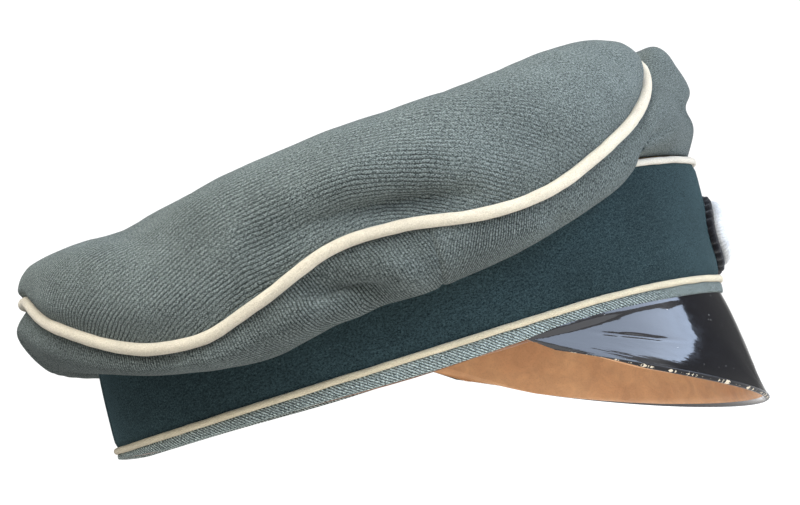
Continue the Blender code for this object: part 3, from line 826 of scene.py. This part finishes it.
def make_crown_wall():
    """Four wall panels, each turned in a little where it is sewn to the next."""
    pieces = {
        "crown_front_panel_right": (-SIDE_SEAM, 0.0),
        "crown_front_panel_left": (0.0, SIDE_SEAM),
        "crown_rear_panel_left": (SIDE_SEAM, 180.0),
        "crown_rear_panel_right": (-180.0, -SIDE_SEAM),
    }
    for name, (start, end) in pieces.items():
        count = round(CROWN_ANGLES * (end - start) / 360) + 1
        middle = np.linspace(start, end, count)
        edges = np.array([0.12, 0.3, 0.55, 0.9])
        degrees = np.concatenate([[start], start + edges, middle[1:-1], end - edges[::-1], [end]])
        degrees = np.unique(np.round(degrees, 4))
        angles = np.radians(degrees)
        shares = np.linspace(0, 1, 60)
        points = through(wall_controls(angles), shares)
        out, up = piping_place(angles)
        tuck = [crown_point(angles, out - 1.2, up - 0.8), crown_point(angles, out - 2.6, up - 0.5)]
        points = np.concatenate([points, np.stack(tuck)])
        normals = grid_normals(points)
        lengths = arc_lengths(points, 0)
        seam = lengths[-1:] - lengths
        amount = fold_amount(points, WALL_FOLDS)
        amount += 0.5 * waver(points, 20.0, 13.0) + 0.2 * waver(points, 7.0, 15.0)
        pucker = 0.3 * waver(np.stack([points[..., 0], points[..., 1], 0 * seam], -1), 4.5, 17.0)
        amount += pucker * np.exp(-((seam / 5.0) ** 2))
        held = np.clip((seam - 1.5) / 4.0, 0, 1) * np.clip((lengths - 3.0) / 9.0, 0, 1)
        around = arc_lengths(points, 1)
        to_end = np.minimum(around, around[:, -1:] - around)
        pinch = -0.5 * np.exp(-((to_end / 0.7) ** 2)) + 0.2 * np.exp(-(((to_end - 2.6) / 1.4) ** 2))
        points = points + normals * (amount * held + pinch * np.clip(lengths / 3.0, 0, 1))[..., None]
        lay = np.broadcast_to(around[35:36], around.shape)
        uv = np.stack([lay + 7 * abs(start), lengths], axis=-1)
        cloth = wool_front if "front" in name else wool_wall
        item = grid_mesh(name.replace("panel", "cloth"), points, uv, cloth, thickness=1.0)
        settle(item, "crown_wool", name)
        declare_cloth(points)


def inner_wall(angles, shares, depth):
    """The shaped wall's surface moved inwards, for what lies behind its cloth."""
    points = through(wall_controls(angles), shares)
    normals = grid_normals(points)
    return points + normals * (np.minimum(fold_amount(points, WALL_FOLDS), 0) - depth)[..., None]


def make_front_stay():
    """Cotton wadding behind the front of the wall, and the spring stay in its sleeve."""
    pieces = (
        ("front_cotton_pad", "front_wadding", "wadding", 24, 0.3, 0.78, 1.9, 2.3, cotton),
        ("front_spring_stay", "front_stay", "spring_steel", 4, 0.22, 0.84, 4.7, 0.6, steel),
        ("front_stay_sleeve", "front_stay_cover", "lining_satin", 6, 0.2, 0.86, 5.7, 0.5, sleeve),
    )
    for name, node, slot, half, start, end, depth, thick, finish in pieces:
        angles = np.radians(np.linspace(-half, half, 61 if half > 10 else 17))
        points = inner_wall(angles, np.linspace(start, end, 40), depth)
        uv = np.stack([arc_lengths(points, 1), arc_lengths(points, 0)], axis=-1)
        item = grid_mesh(name, points, uv, finish, thickness=thick)
        settle(item, slot, node)


def make_crown_piping():
    angles = full_turn(760)
    out, up = piping_place(angles)
    centres = crown_point(angles, out + 0.4 * CROWN_PIPING_RADIUS, up)
    centres[:, 2] += 0.18 * waver(centres, 9.0, 21.0)
    radius = 1.3 * CROWN_PIPING_RADIUS
    item = tube_mesh("crown_piping_cord", centres, radius, cream_wool, 18, wobble=0.07, seed=2.0)
    settle(item, "piping_wool", "crown_piping")


# ---- the band ----

def rear_lift(angle):
    """The welt is narrower at the very rear."""
    return 1.9 * np.clip((-np.cos(angle) - 0.86) / 0.14, 0, 1) ** 1.5


def section_ring(name, section, material):
    """A band strip from its section, a closed list of (out, up) places that may vary with the angle."""
    angles = full_turn(720)
    rows = [band_point(angles, out, up) for out, up in section(angles)]
    ring = joined_ends(np.stack(rows + rows[:1]))
    lay = np.broadcast_to(arc_lengths(ring, 1)[:1], ring.shape[:2])
    uv = np.stack([lay, arc_lengths(ring, 0)], axis=-1)
    item = grid_mesh(name, np.stack(rows), uv[:-1], material, wrap=True)
    last = (len(rows) - 1) * len(angles)
    faces, corners = [], []
    for c in range(len(angles)):
        k = (c + 1) % len(angles)
        faces.append([last + c, last + k, k, c])
        corners += [list(uv[-2, c]), list(uv[-2, c + 1]), list(uv[-1, c + 1]), list(uv[-1, c])]
    add_faces(item, [], faces, corners)
    item.data.set_sharp_from_angle(angle=math.radians(60))
    return item


def band_cloth_section(angle):
    low = WELT_HEIGHT + BAND_PIPING_RADIUS * 1.2
    high = PIPING_HEIGHT - BAND_PIPING_RADIUS * 0.2
    wave = 0.12 * np.sin(5 * angle + 1.0) + 0.08 * np.sin(11 * angle)
    seam = -0.7 * np.exp(-((np.abs(np.abs(angle) - np.pi) / 0.008) ** 2))
    outer = []
    for share in np.linspace(0, 1, 15):
        tuck = -1.0 * math.exp(-((share / 0.05) ** 2)) - 1.0 * math.exp(-(((1 - share) / 0.05) ** 2))
        belly = 0.35 * math.sin(math.pi * share)
        up = low + share * (high - low)
        outer.append((BAND_THICK + tuck + (wave + belly) * math.sin(math.pi * share) + seam, up))
    return outer + [(CLOTH_INNER, high), (CLOTH_INNER, low)]


def welt_section(angle):
    degrees = np.abs(np.degrees(angle))
    lift = rear_lift(angle) - 1.3 * np.exp(-(((degrees - 96) / 20) ** 2))
    high = WELT_HEIGHT + 0.2
    outer = BAND_THICK - 0.05
    profile = [(outer - 0.9, high), (outer - 0.35, high - 0.25)]
    profile += [(outer - 0.02, high - 1.0), (outer, high - 1.9)]
    for turn in np.radians((0, 22, 45, 68, 90)):
        profile.append((outer - 0.75 + 0.75 * math.cos(turn), 0.8 - 0.8 * math.sin(turn)))
    profile += [(CLOTH_INNER + 0.3, 0.0), (CLOTH_INNER, 0.4), (CLOTH_INNER, high)]
    return [(out, up + lift * max(1 - up / high, 0.0)) for out, up in profile]


def sweatband_section(angle):
    lift = 0.8 * rear_lift(angle) - brow_drop(angle)
    wave = 0.25 * np.sin(7 * angle) + 0.15 * np.sin(13 * angle + 0.6)
    inner = []
    for share in np.linspace(1, 0, 14):
        belly = -0.25 * math.sin(math.pi * share)
        up = 1.6 + share * (SWEATBAND_TOP - 1.6)
        inner.append((belly + 0.5 * wave * share, up + lift * (1 - share)))
    base = [(0.35, 1.0 + lift), (SWEATBAND_THICK - 0.2, 1.0 + lift)]
    outer = [(SWEATBAND_THICK, 3.0), (SWEATBAND_THICK, SWEATBAND_TOP)]
    return inner + base + outer


def brow_drop(angle):
    """The sweatband's lower edge shows below the welt along the temples."""
    degrees = np.abs(np.degrees(angle))
    return 2.2 * np.exp(-(((degrees - 80) / 25) ** 2))


def make_band():
    item = section_ring("band_cloth_outer", band_cloth_section, green_felt)
    settle(item, "band_felt", "band_cloth")
    item = section_ring("welt_strip", welt_section, wool_welt)
    settle(item, "crown_wool", "bottom_welt")
    angles = full_turn(760)
    low = WELT_HEIGHT + BAND_PIPING_RADIUS
    cords = (
        ("band_lower_cord", "band_lower_piping", low, yellow_wool, 31.0, 4.0),
        ("band_upper_cord", "band_upper_piping", PIPING_HEIGHT, white_wool, 33.0, 6.0),
    )
    for name, node, height, wool, lie_seed, seed in cords:
        centres = band_point(angles, PIPING_OUT, height)
        centres[:, 2] += 0.12 * waver(centres, 10.0, lie_seed)
        item = tube_mesh(name, centres, BAND_PIPING_RADIUS, wool, 14, wobble=0.08, seed=seed)
        settle(item, "piping_wool", node)


def make_sweatband():
    item = section_ring("sweatband_leather", sweatband_section, brown_leather)
    settle(item, "leather", "sweatband")
    angles = full_turn(600)
    drop = 0.8 * rear_lift(angles) - brow_drop(angles)
    centres = band_point(angles, SWEATBAND_THICK / 2 + 0.2, 1.4 + drop)
    item = tube_mesh("sweatband_rolled_edge", centres, 0.8, brown_leather, 12, wobble=0.05, seed=8.0)
    settle(item, "leather", "sweatband_reed")

    def route(turn):
        return band_point(turn, -0.3, 3.4 + 0.8 * rear_lift(turn) - brow_drop(turn))

    stitches("sweatband_stitches", route, full_turn(176), 0.55, "leather")


def stitches(name, route, angles, share, slot, radius=0.22):
    """A row of stitches: short rounded bars along a route, joined into one mesh."""
    verts, faces, corners = [], [], []
    gap = angles[1] - angles[0]
    sides = 6
    for angle in angles:
        ends = route(np.array([angle, angle + gap * share]))
        middle = ends.mean(axis=0)
        ahead = ends[1] - ends[0]
        length = np.linalg.norm(ahead)
        ahead = ahead / length
        side = np.cross(ahead, [0, 0, 1.0])
        side /= np.linalg.norm(side)
        above = np.cross(side, ahead)
        first = len(verts)
        for t, size in ((-0.5, 0.35), (-0.36, 1.0), (0.36, 1.0), (0.5, 0.35)):
            for k in range(sides):
                turn = 2 * math.pi * k / sides
                offset = radius * size * (math.cos(turn) * side + math.sin(turn) * above)
                verts.append(tuple((middle + ahead * length * t + offset) / 1000))
        for ring in range(3):
            for k in range(sides):
                n = (k + 1) % sides
                a = first + ring * sides
                faces.append([a + k, a + sides + k, a + sides + n, a + n])
                v0, v1 = k * 0.2, k * 0.2 + 0.2
                corners += [(ring, v0), (ring + 1, v0), (ring + 1, v1), (ring, v1)]
        faces.append([first + k for k in range(sides)])
        faces.append([first + 3 * sides + k for k in reversed(range(sides))])
        corners += [(0, 0)] * (2 * sides)
    settle(new_item(name, new_mesh(name, verts, faces, corners, tan_thread)), slot)


# ---- the lining ----

def lining_rim(angle):
    point = crown_point(angle, -LINING_INSET, 0)
    point[..., 2] = ridge(point[..., 0]) - LINING_DROP - 3
    return point


def make_lining():
    angles = full_turn(480)
    foot = band_point(angles, -0.2, SWEATBAND_TOP - 1.5)
    rim = lining_rim(angles)
    out = np.stack([np.cos(angles), np.sin(angles), 0 * angles], axis=-1)
    pleats = 0.5 * np.sin(60 * angles + 3 * np.sin(5 * angles))
    rows = []
    for share in np.linspace(0, 1, 22):
        swell = 4.6 * math.sin(math.pi * share) + pleats * math.sin(math.pi * min(1, share * 1.1)) ** 0.5
        rows.append(foot + share * (rim - foot) + out * np.atleast_1d(swell)[:, None])
    points = np.stack(rows)
    ring = joined_ends(points)
    lay = np.broadcast_to(arc_lengths(ring, 1)[:1], ring.shape[:2])
    uv = np.stack([lay, arc_lengths(ring, 0)], axis=-1)
    item = grid_mesh("lining_side_satin", points, uv, gold_satin, wrap=True, thickness=0.6)
    declare_cloth(ring)
    settle(item, "lining_satin", "crown_lining_side")
    centre = np.array([CROWN_SHIFT, 0.0, float(ridge(CROWN_SHIFT)) - LINING_DROP])
    rows = []
    for share in np.concatenate([np.linspace(1.0, 0.1, 30), [0.03]]):
        point = centre + share * (rim - centre)
        point[:, 2] = ridge(point[:, 0]) - LINING_DROP - 3 * share ** 2 + 0.3
        point[:, 2] += 0.5 * waver(point, 18.0, 41.0) * (1 - share)
        rows.append(point)
    points = np.stack(rows)
    ring = joined_ends(points)
    uv = ring[..., :2] - centre[:2]
    item = disc_mesh("lining_top_satin", points, uv, gold_satin)
    thicken(item, 0.6)
    declare_cloth(ring, np.ptp(uv.reshape(-1, 2), axis=0))
    settle(item, "lining_satin", "crown_lining_top")
    make_sweat_shield(centre)


def shield_outline(turn):
    """The sweat shield's edge from its middle, drawn in between its four points."""
    reach = ((np.cos(turn), SHIELD_HALF_LENGTH), (np.sin(turn), SHIELD_HALF_WIDTH))
    return [np.abs(way) ** SHIELD_POINTING * np.sign(way) * half for way, half in reach]


def make_sweat_shield(centre):
    """A clear celluloid sheet, cut as a rounded diamond, sewn under the lining's top."""
    across, wide = shield_outline(full_turn(160))
    rows = []
    for share in np.concatenate([np.linspace(1.0, 0.1, 18), [0.03]]):
        x = centre[0] + share * across
        y = share * wide
        z = ridge(x) - LINING_DROP - 1.5 - 2.2 * (share * 0.62) ** 2
        rows.append(np.stack([x, y, z], axis=-1))
    points = np.stack(rows)
    ring = joined_ends(points)
    uv = ring[..., :2] - centre[:2]
    item = disc_mesh("sweat_shield_sheet", points, uv, clear_sheet)
    thicken(item, 0.4)
    settle(item, "celluloid", "sweat_shield")

    def route(place):
        along, wide = shield_outline(place)
        x = centre[0] + 0.96 * along
        return np.stack([x, 0.96 * wide, ridge(x) - LINING_DROP - 2.45 - 0.8], axis=-1)

    stitches("sweat_shield_stitches", route, full_turn(120), 0.5, "lining_satin", radius=0.25)


# ---- the peak ----

PEAK_CREASES = (
    (((36, -79.8, -3.2), (48, -76.8, -7.6), (60, -71.3, -12.4), (72, -64, -16.5)), 0.7, -0.32),
    (((44, -77, -3), (58, -71, -6), (70, -63, -8)), 5.0, 0.35),
    (((84, -62, -8), (91, -54, -20), (96, -44, -34)), 6.0, 0.5),
    (((50, 72, -14), (74, 64, -20)), 1.2, -0.5),
)


def peak_edge(turn):
    side = np.cos(turn)
    x = PEAK_CORNER_X + PEAK_REACH * side ** PEAK_ROUNDING
    y = (HALF_WIDTH + BAND_THICK - 3) * np.sin(turn)
    z = -PEAK_CORNER_DROP - (PEAK_DROP - PEAK_CORNER_DROP) * side ** PEAK_SIDE_DROP
    return np.stack([x, y, z], axis=-1)


def peak_grid(turn, shares):
    corner = math.acos(PEAK_CORNER_X / HALF_LENGTH)
    seam = band_point(corner * np.sin(turn), BAND_THICK - 0.7, -0.3)
    edge = peak_edge(turn)
    out = np.stack([np.cos(turn), np.sin(turn), 0.25 + 0 * turn], axis=-1)
    rows = []
    for share in shares:
        belly = PEAK_BELLY * math.sin(math.pi * min(max(share, 0), 1)) * np.cos(turn)
        rows.append(seam + share * (edge - seam) + out * belly[:, None])
    return np.stack(rows)


def steady_corners(normals, turns):
    """The peak's normals, held still in the last degrees to its corners."""
    limit = np.radians(82)
    first, last = np.searchsorted(turns, (-limit, limit))
    normals = normals.copy()
    normals[:, :first] = normals[:, first:first + 1]
    normals[:, last:] = normals[:, last - 1:last]
    return normals


def shell_thick(turns):
    """The lacquered shell thins out towards its corners."""
    return PEAK_THICK * np.clip((np.radians(90) - np.abs(turns)) / np.radians(16), 0.3, 1)[:, None]


def peak_turns(limit, count):
    """Turns from corner to corner, in radians, closer together at the corners."""
    return np.radians(limit) * np.sin(np.linspace(-np.pi / 2, np.pi / 2, count))


def edges_held(shares):
    """How freely the peak's surface may move, down to 0 at its seam and its edge."""
    return (np.clip((1 - shares) / 0.12, 0, 1) * np.clip(shares / 0.08, 0, 1))[:, None]


def make_peak_shell():
    turns = peak_turns(88, 360)
    shares = np.concatenate([[-0.03], np.linspace(0.0, 1.0, 76)])
    top = peak_grid(turns, shares)
    inward = steady_corners(grid_normals(top), turns)
    amount = fold_amount(top, PEAK_CREASES, 0.0)
    amount += 0.22 * waver(top, 24.0, 51.0) + 0.05 * waver(top, 8.0, 53.0)
    sides = np.clip((np.abs(turns) - 0.5) / 0.35, 0, 1) * np.clip(np.cos(turns) / 0.4, 0, 1)
    shoulder = 0.7 * np.exp(-((np.maximum(shares, 0) / 0.06) ** 2))[:, None] * sides
    top = top - inward * (amount * edges_held(shares) + shoulder)[..., None]
    thick = shell_thick(turns)
    under = top + inward * thick
    down = top[-1] - top[-3]
    down /= np.linalg.norm(down, axis=-1, keepdims=True)
    rim = []
    for turn in np.radians((30, 60, 90, 120, 150)):
        swing = down * math.sin(turn) * thick * 0.35
        rim.append(top[-1] + inward[-1] * thick * 0.5 * (1 - math.cos(turn)) + swing)
    points = np.concatenate([top, np.stack(rim), under[::-1]])
    lengths = arc_lengths(points, 0)
    to_edge = np.abs(lengths - lengths[len(shares) + 2:len(shares) + 3])
    lay = np.broadcast_to(arc_lengths(points, 1)[len(shares):len(shares) + 1], to_edge.shape)
    uv = np.stack([lay, to_edge], axis=-1)
    item = grid_mesh("peak_lacquered_shell", points, uv, black_lacquer, flip=True)
    settle(item, "peak_lacquer", "peak_shell")


def make_peak_lining():
    turns = peak_turns(86, 300)
    shares = np.concatenate([[-0.06, -0.02], np.linspace(0.02, 0.965, 40)])
    base = peak_grid(turns, shares)
    normals = steady_corners(grid_normals(base), turns)
    amount = fold_amount(base, PEAK_CREASES, 0.0) * edges_held(shares)
    base = base - normals * amount[..., None]
    skived = np.clip((0.965 - shares) / 0.06, 0, 1)[:, None, None]
    grain = 0.12 * waver(base, 6.0, 61.0)[..., None]
    face = base + normals * (shell_thick(turns) + 0.2 + 0.7 * skived + grain)
    lengths = arc_lengths(face, 0)
    lay = np.broadcast_to(arc_lengths(face, 1)[-1:], lengths.shape)
    uv = np.stack([lay, lengths], axis=-1)
    item = grid_mesh("peak_leather_lining", face, uv, tan_leather, thickness=0.85)
    settle(item, "peak_leather", "peak_lining")


# ---- the badge ----

# Each profile is (reach, out): a share of the oval for the backing, millimetres for the boss
BACKING_PROFILE = (
    (1.0, 0.0), (1.01, 0.8), (1.01, 1.6), (0.99, 2.1), (0.95, 2.3), (0.9, 2.3), (0.6, 2.3), (0.3, 2.3),
    (0.02, 2.3),
)
BOSS_PROFILE = (
    (5.6, 2.2), (5.6, 2.7), (5.3, 3.1), (4.7, 3.2), (4.3, 2.9), (4.1, 3.1), (3.6, 3.7), (2.6, 4.4),
    (1.4, 4.8), (0.3, 4.9),
)
CORD_INSET = 4.4
CORD_TWISTS = 26
CORD_SWELL = 0.95


def badge_point(across, up, out):
    return band_point(across / (HALF_WIDTH + BAND_THICK), BAND_THICK + 0.3 + out, BADGE_CENTRE_UP + up)


def make_badge():
    turn = np.linspace(0, 2 * np.pi, 8 * SCALLOPS, endpoint=False)
    wave = 0.9 * np.abs(np.cos(SCALLOPS * turn / 2)) - 0.45
    rows = []
    for share, out in BACKING_PROFILE:
        across = share * (BADGE_WIDTH / 2 - 0.8 + wave) * np.cos(turn)
        up = share * (BADGE_HEIGHT / 2 - 0.8 + wave) * np.sin(turn)
        rows.append(badge_point(across, up, out))
    points = np.stack(rows)
    item = disc_mesh("badge_felt_oval", points, joined_ends(points)[..., 1:], badge_black)
    settle(item, "badge_felt", "badge_backing")
    make_badge_rope()
    make_badge_boss()


def make_badge_rope():
    """Two strands of silver cord twisted round each other along an oval."""
    turn = np.linspace(0, 2 * np.pi, 900, endpoint=False)
    across = (BADGE_WIDTH / 2 - CORD_INSET) * np.cos(turn)
    up = (BADGE_HEIGHT / 2 - CORD_INSET) * np.sin(turn)
    for strand in (0, 1):
        spin = CORD_TWISTS * turn + math.pi * strand
        out = 3.2 + CORD_SWELL * np.cos(spin)
        radial = CORD_SWELL * np.sin(spin)
        centres = badge_point(across + radial * np.cos(turn), up + radial * np.sin(turn), out)
        name = f"badge_cord_{strand + 1}"
        item = tube_mesh(name, centres, 1.0, silver_cord, 12, wobble=0.06, seed=70.0 + strand)
        settle(item, "badge_thread", *(["badge_ring"] if strand == 0 else []))


def make_badge_boss():
    turn = np.linspace(0, 2 * np.pi, 96, endpoint=False)
    rows = []
    for reach, out in BOSS_PROFILE:
        flute = 1 + 0.04 * np.cos(16 * turn) * (reach > 4.5)
        rows.append(badge_point(reach * flute * np.cos(turn), reach * flute * np.sin(turn), out))
    points = np.stack(rows)
    item = disc_mesh("badge_boss_dome", points, joined_ends(points)[..., 1:], silver_metal)
    settle(item, "badge_metal", "badge_boss")


# ---- stage ----

def make_stage():
    """A pale floor with a glow of its own, like a light table, so its shadows stay faint."""
    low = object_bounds()[0][2] - 0.0004
    size = 7.0
    mesh = bpy.data.meshes.new("floor")
    corners = [(-size, -size, low), (size, -size, low), (size, size, low), (-size, size, low)]
    mesh.from_pydata(corners, [], [[0, 1, 2, 3]])
    s = Shader("pale_floor", Roughness=0.95, Specular_IOR_Level=0.0, Emission_Color=rgb(1.0, 1.0, 1.0))
    grain = s.noise(s.place(), 0.01, 2.0)
    x, _, _ = s.split(s.place())
    s.feed(s.principled.inputs["Emission Strength"], s.ramp(x, -210.0, 0.0, 0.06, 1.0))
    mesh.materials.append(s.finish(s.mix(grain, rgb(0.34, 0.34, 0.34), rgb(0.36, 0.36, 0.36))))
    new_item("floor", mesh)


def area_light(name, azimuth, elevation, distance, width, height, radiance, colour=(1, 1, 1)):
    """A rectangular softbox in a direction from the cap, facing it, with its own brightness."""
    away = Vector(direction(azimuth, elevation))
    data = bpy.data.lights.new(name, "AREA")
    data.shape = "RECTANGLE"
    data.size = width
    data.size_y = height
    data.energy = radiance * math.pi * width * height
    data.color = colour
    item = bpy.data.objects.new(name, data)
    item.location = Vector((0.0, 0.0, 0.03)) + away * distance
    item.rotation_euler = away.to_track_quat("Z", "Y").to_euler()
    bpy.context.scene.collection.objects.link(item)


def direction(azimuth, elevation):
    a, e = math.radians(azimuth), math.radians(elevation)
    return math.cos(a) * math.cos(e), math.sin(a) * math.cos(e), math.sin(e)


def make_lights():
    """A studio brighter towards the peak, with white behind the cap and a dark screen beside that."""
    world = bpy.data.worlds.new("studio")
    world.use_nodes = True
    tree = world.node_tree
    background = tree.nodes["Background"]
    coords = tree.nodes.new("ShaderNodeTexCoord")

    def towards(way, start, end, low, high):
        """From low to high as a direction turns towards this way."""
        facing = tree.nodes.new("ShaderNodeVectorMath")
        facing.operation = "DOT_PRODUCT"
        facing.inputs[1].default_value = way
        tree.links.new(coords.outputs["Generated"], facing.inputs[0])
        spread = tree.nodes.new("ShaderNodeMapRange")
        for socket, value in (("From Min", start), ("From Max", end), ("To Min", low), ("To Max", high)):
            spread.inputs[socket].default_value = value
        tree.links.new(facing.outputs["Value"], spread.inputs["Value"])
        return spread.outputs[0]

    def joined(operation, a, b):
        made = tree.nodes.new("ShaderNodeMath")
        made.operation = operation
        tree.links.new(a, made.inputs[0])
        tree.links.new(b, made.inputs[1])
        return made.outputs[0]

    front = towards(direction(-15, 0), -0.6, 0.8, 0.25, 0.7)
    screen = towards(direction(36, 10), 0.82, 0.93, 1.0, 0.16)
    white = towards(direction(79, 2), 0.955, 0.986, 0.0, 1.1)
    strength = joined("MAXIMUM", joined("MULTIPLY", front, screen), white)
    tree.links.new(strength, background.inputs["Strength"])
    background.inputs["Color"].default_value = rgb(1.0, 1.0, 1.0)
    bpy.context.scene.world = world
    bpy.context.scene.view_settings.view_transform = "Standard"
    area_light("top_box", -122, 64, 1.2, 1.2, 1.2, 5.0)
    area_light("front_box", -26, 21, 1.2, 1.75, 0.55, 4.3, (0.68, 0.83, 1.1))


make_camera()
wool_top = ribbed_wool(
    "wool_tricot_top", 1.45, along_u=False, slant=0.35, depth=0.3, tone=0.85, cover=1.5
)
# The wall and front panels are the same wool as the top, with a darker tone: painted shade on the walls.
wool_wall = ribbed_wool(
    "wool_tricot_wall", 0.9, along_u=True, slant=0.3, depth=0.26, tone=0.66, cover=1.8
)
wool_front = ribbed_wool(
    "wool_tricot_front", 0.9, along_u=True, slant=-0.55, depth=0.26, tone=0.72, cover=2.2
)
wool_welt = ribbed_wool(
    "wool_tricot_welt", 1.35, along_u=True, slant=-1.4, depth=0.4, tone=2.5, cover=1.9, fades=False
)
green_felt = band_felt("dark_green_felt")
cream_wool = piping_wool("cream_piping", 0.4)
yellow_wool = piping_wool("aged_piping", 1.0)
white_wool = piping_wool("white_piping", 0.0)
black_lacquer = lacquer("black_lacquer")
tan_leather = leather("tan_leather", rgb(0.66, 0.36, 0.17), rgb(0.55, 0.27, 0.12), 0.5)
brown_leather = leather("brown_leather", rgb(0.30, 0.15, 0.08), rgb(0.16, 0.07, 0.035), 0.42, 0.35)
tan_thread = thread_wool("tan_thread", (0.45, 0.34, 0.2))
gold_satin = satin("gold_satin", rgb(0.55, 0.36, 0.15), rgb(0.38, 0.22, 0.08))
clear_sheet = celluloid("aged_celluloid")
badge_black = black_felt("badge_felt_black")
silver_cord = silver_thread("silver_cord")
silver_metal = worn_metal("satin_aluminium", rgb(0.55, 0.55, 0.54), rgb(0.8, 0.8, 0.79), 0.25)
steel = worn_metal("spring_steel", rgb(0.3, 0.3, 0.31), rgb(0.55, 0.55, 0.56), 0.3)
board = plain_fibre("brown_fibreboard", rgb(0.36, 0.26, 0.16), rgb(0.22, 0.15, 0.09), 0.8)
cotton = plain_fibre("cotton_wadding", rgb(0.7, 0.68, 0.6), rgb(0.5, 0.47, 0.4), 1.2)
dark_ribbon = thread_wool("dark_ribbon", (0.05, 0.04, 0.035))
sleeve = plain_fibre("stay_sleeve_cotton", rgb(0.5, 0.4, 0.26), rgb(0.36, 0.27, 0.16), 2.0)

make_crown_top()
make_crown_wall()
make_front_stay()
make_crown_piping()
make_band()
make_sweatband()
make_lining()
make_peak_shell()
make_peak_lining()
make_badge()

for node, finish in (("band_stiffener", board), ("sweatband_bow", dark_ribbon)):
    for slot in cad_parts[node].material_slots:
        slot.material = finish

make_lights()
make_stage()
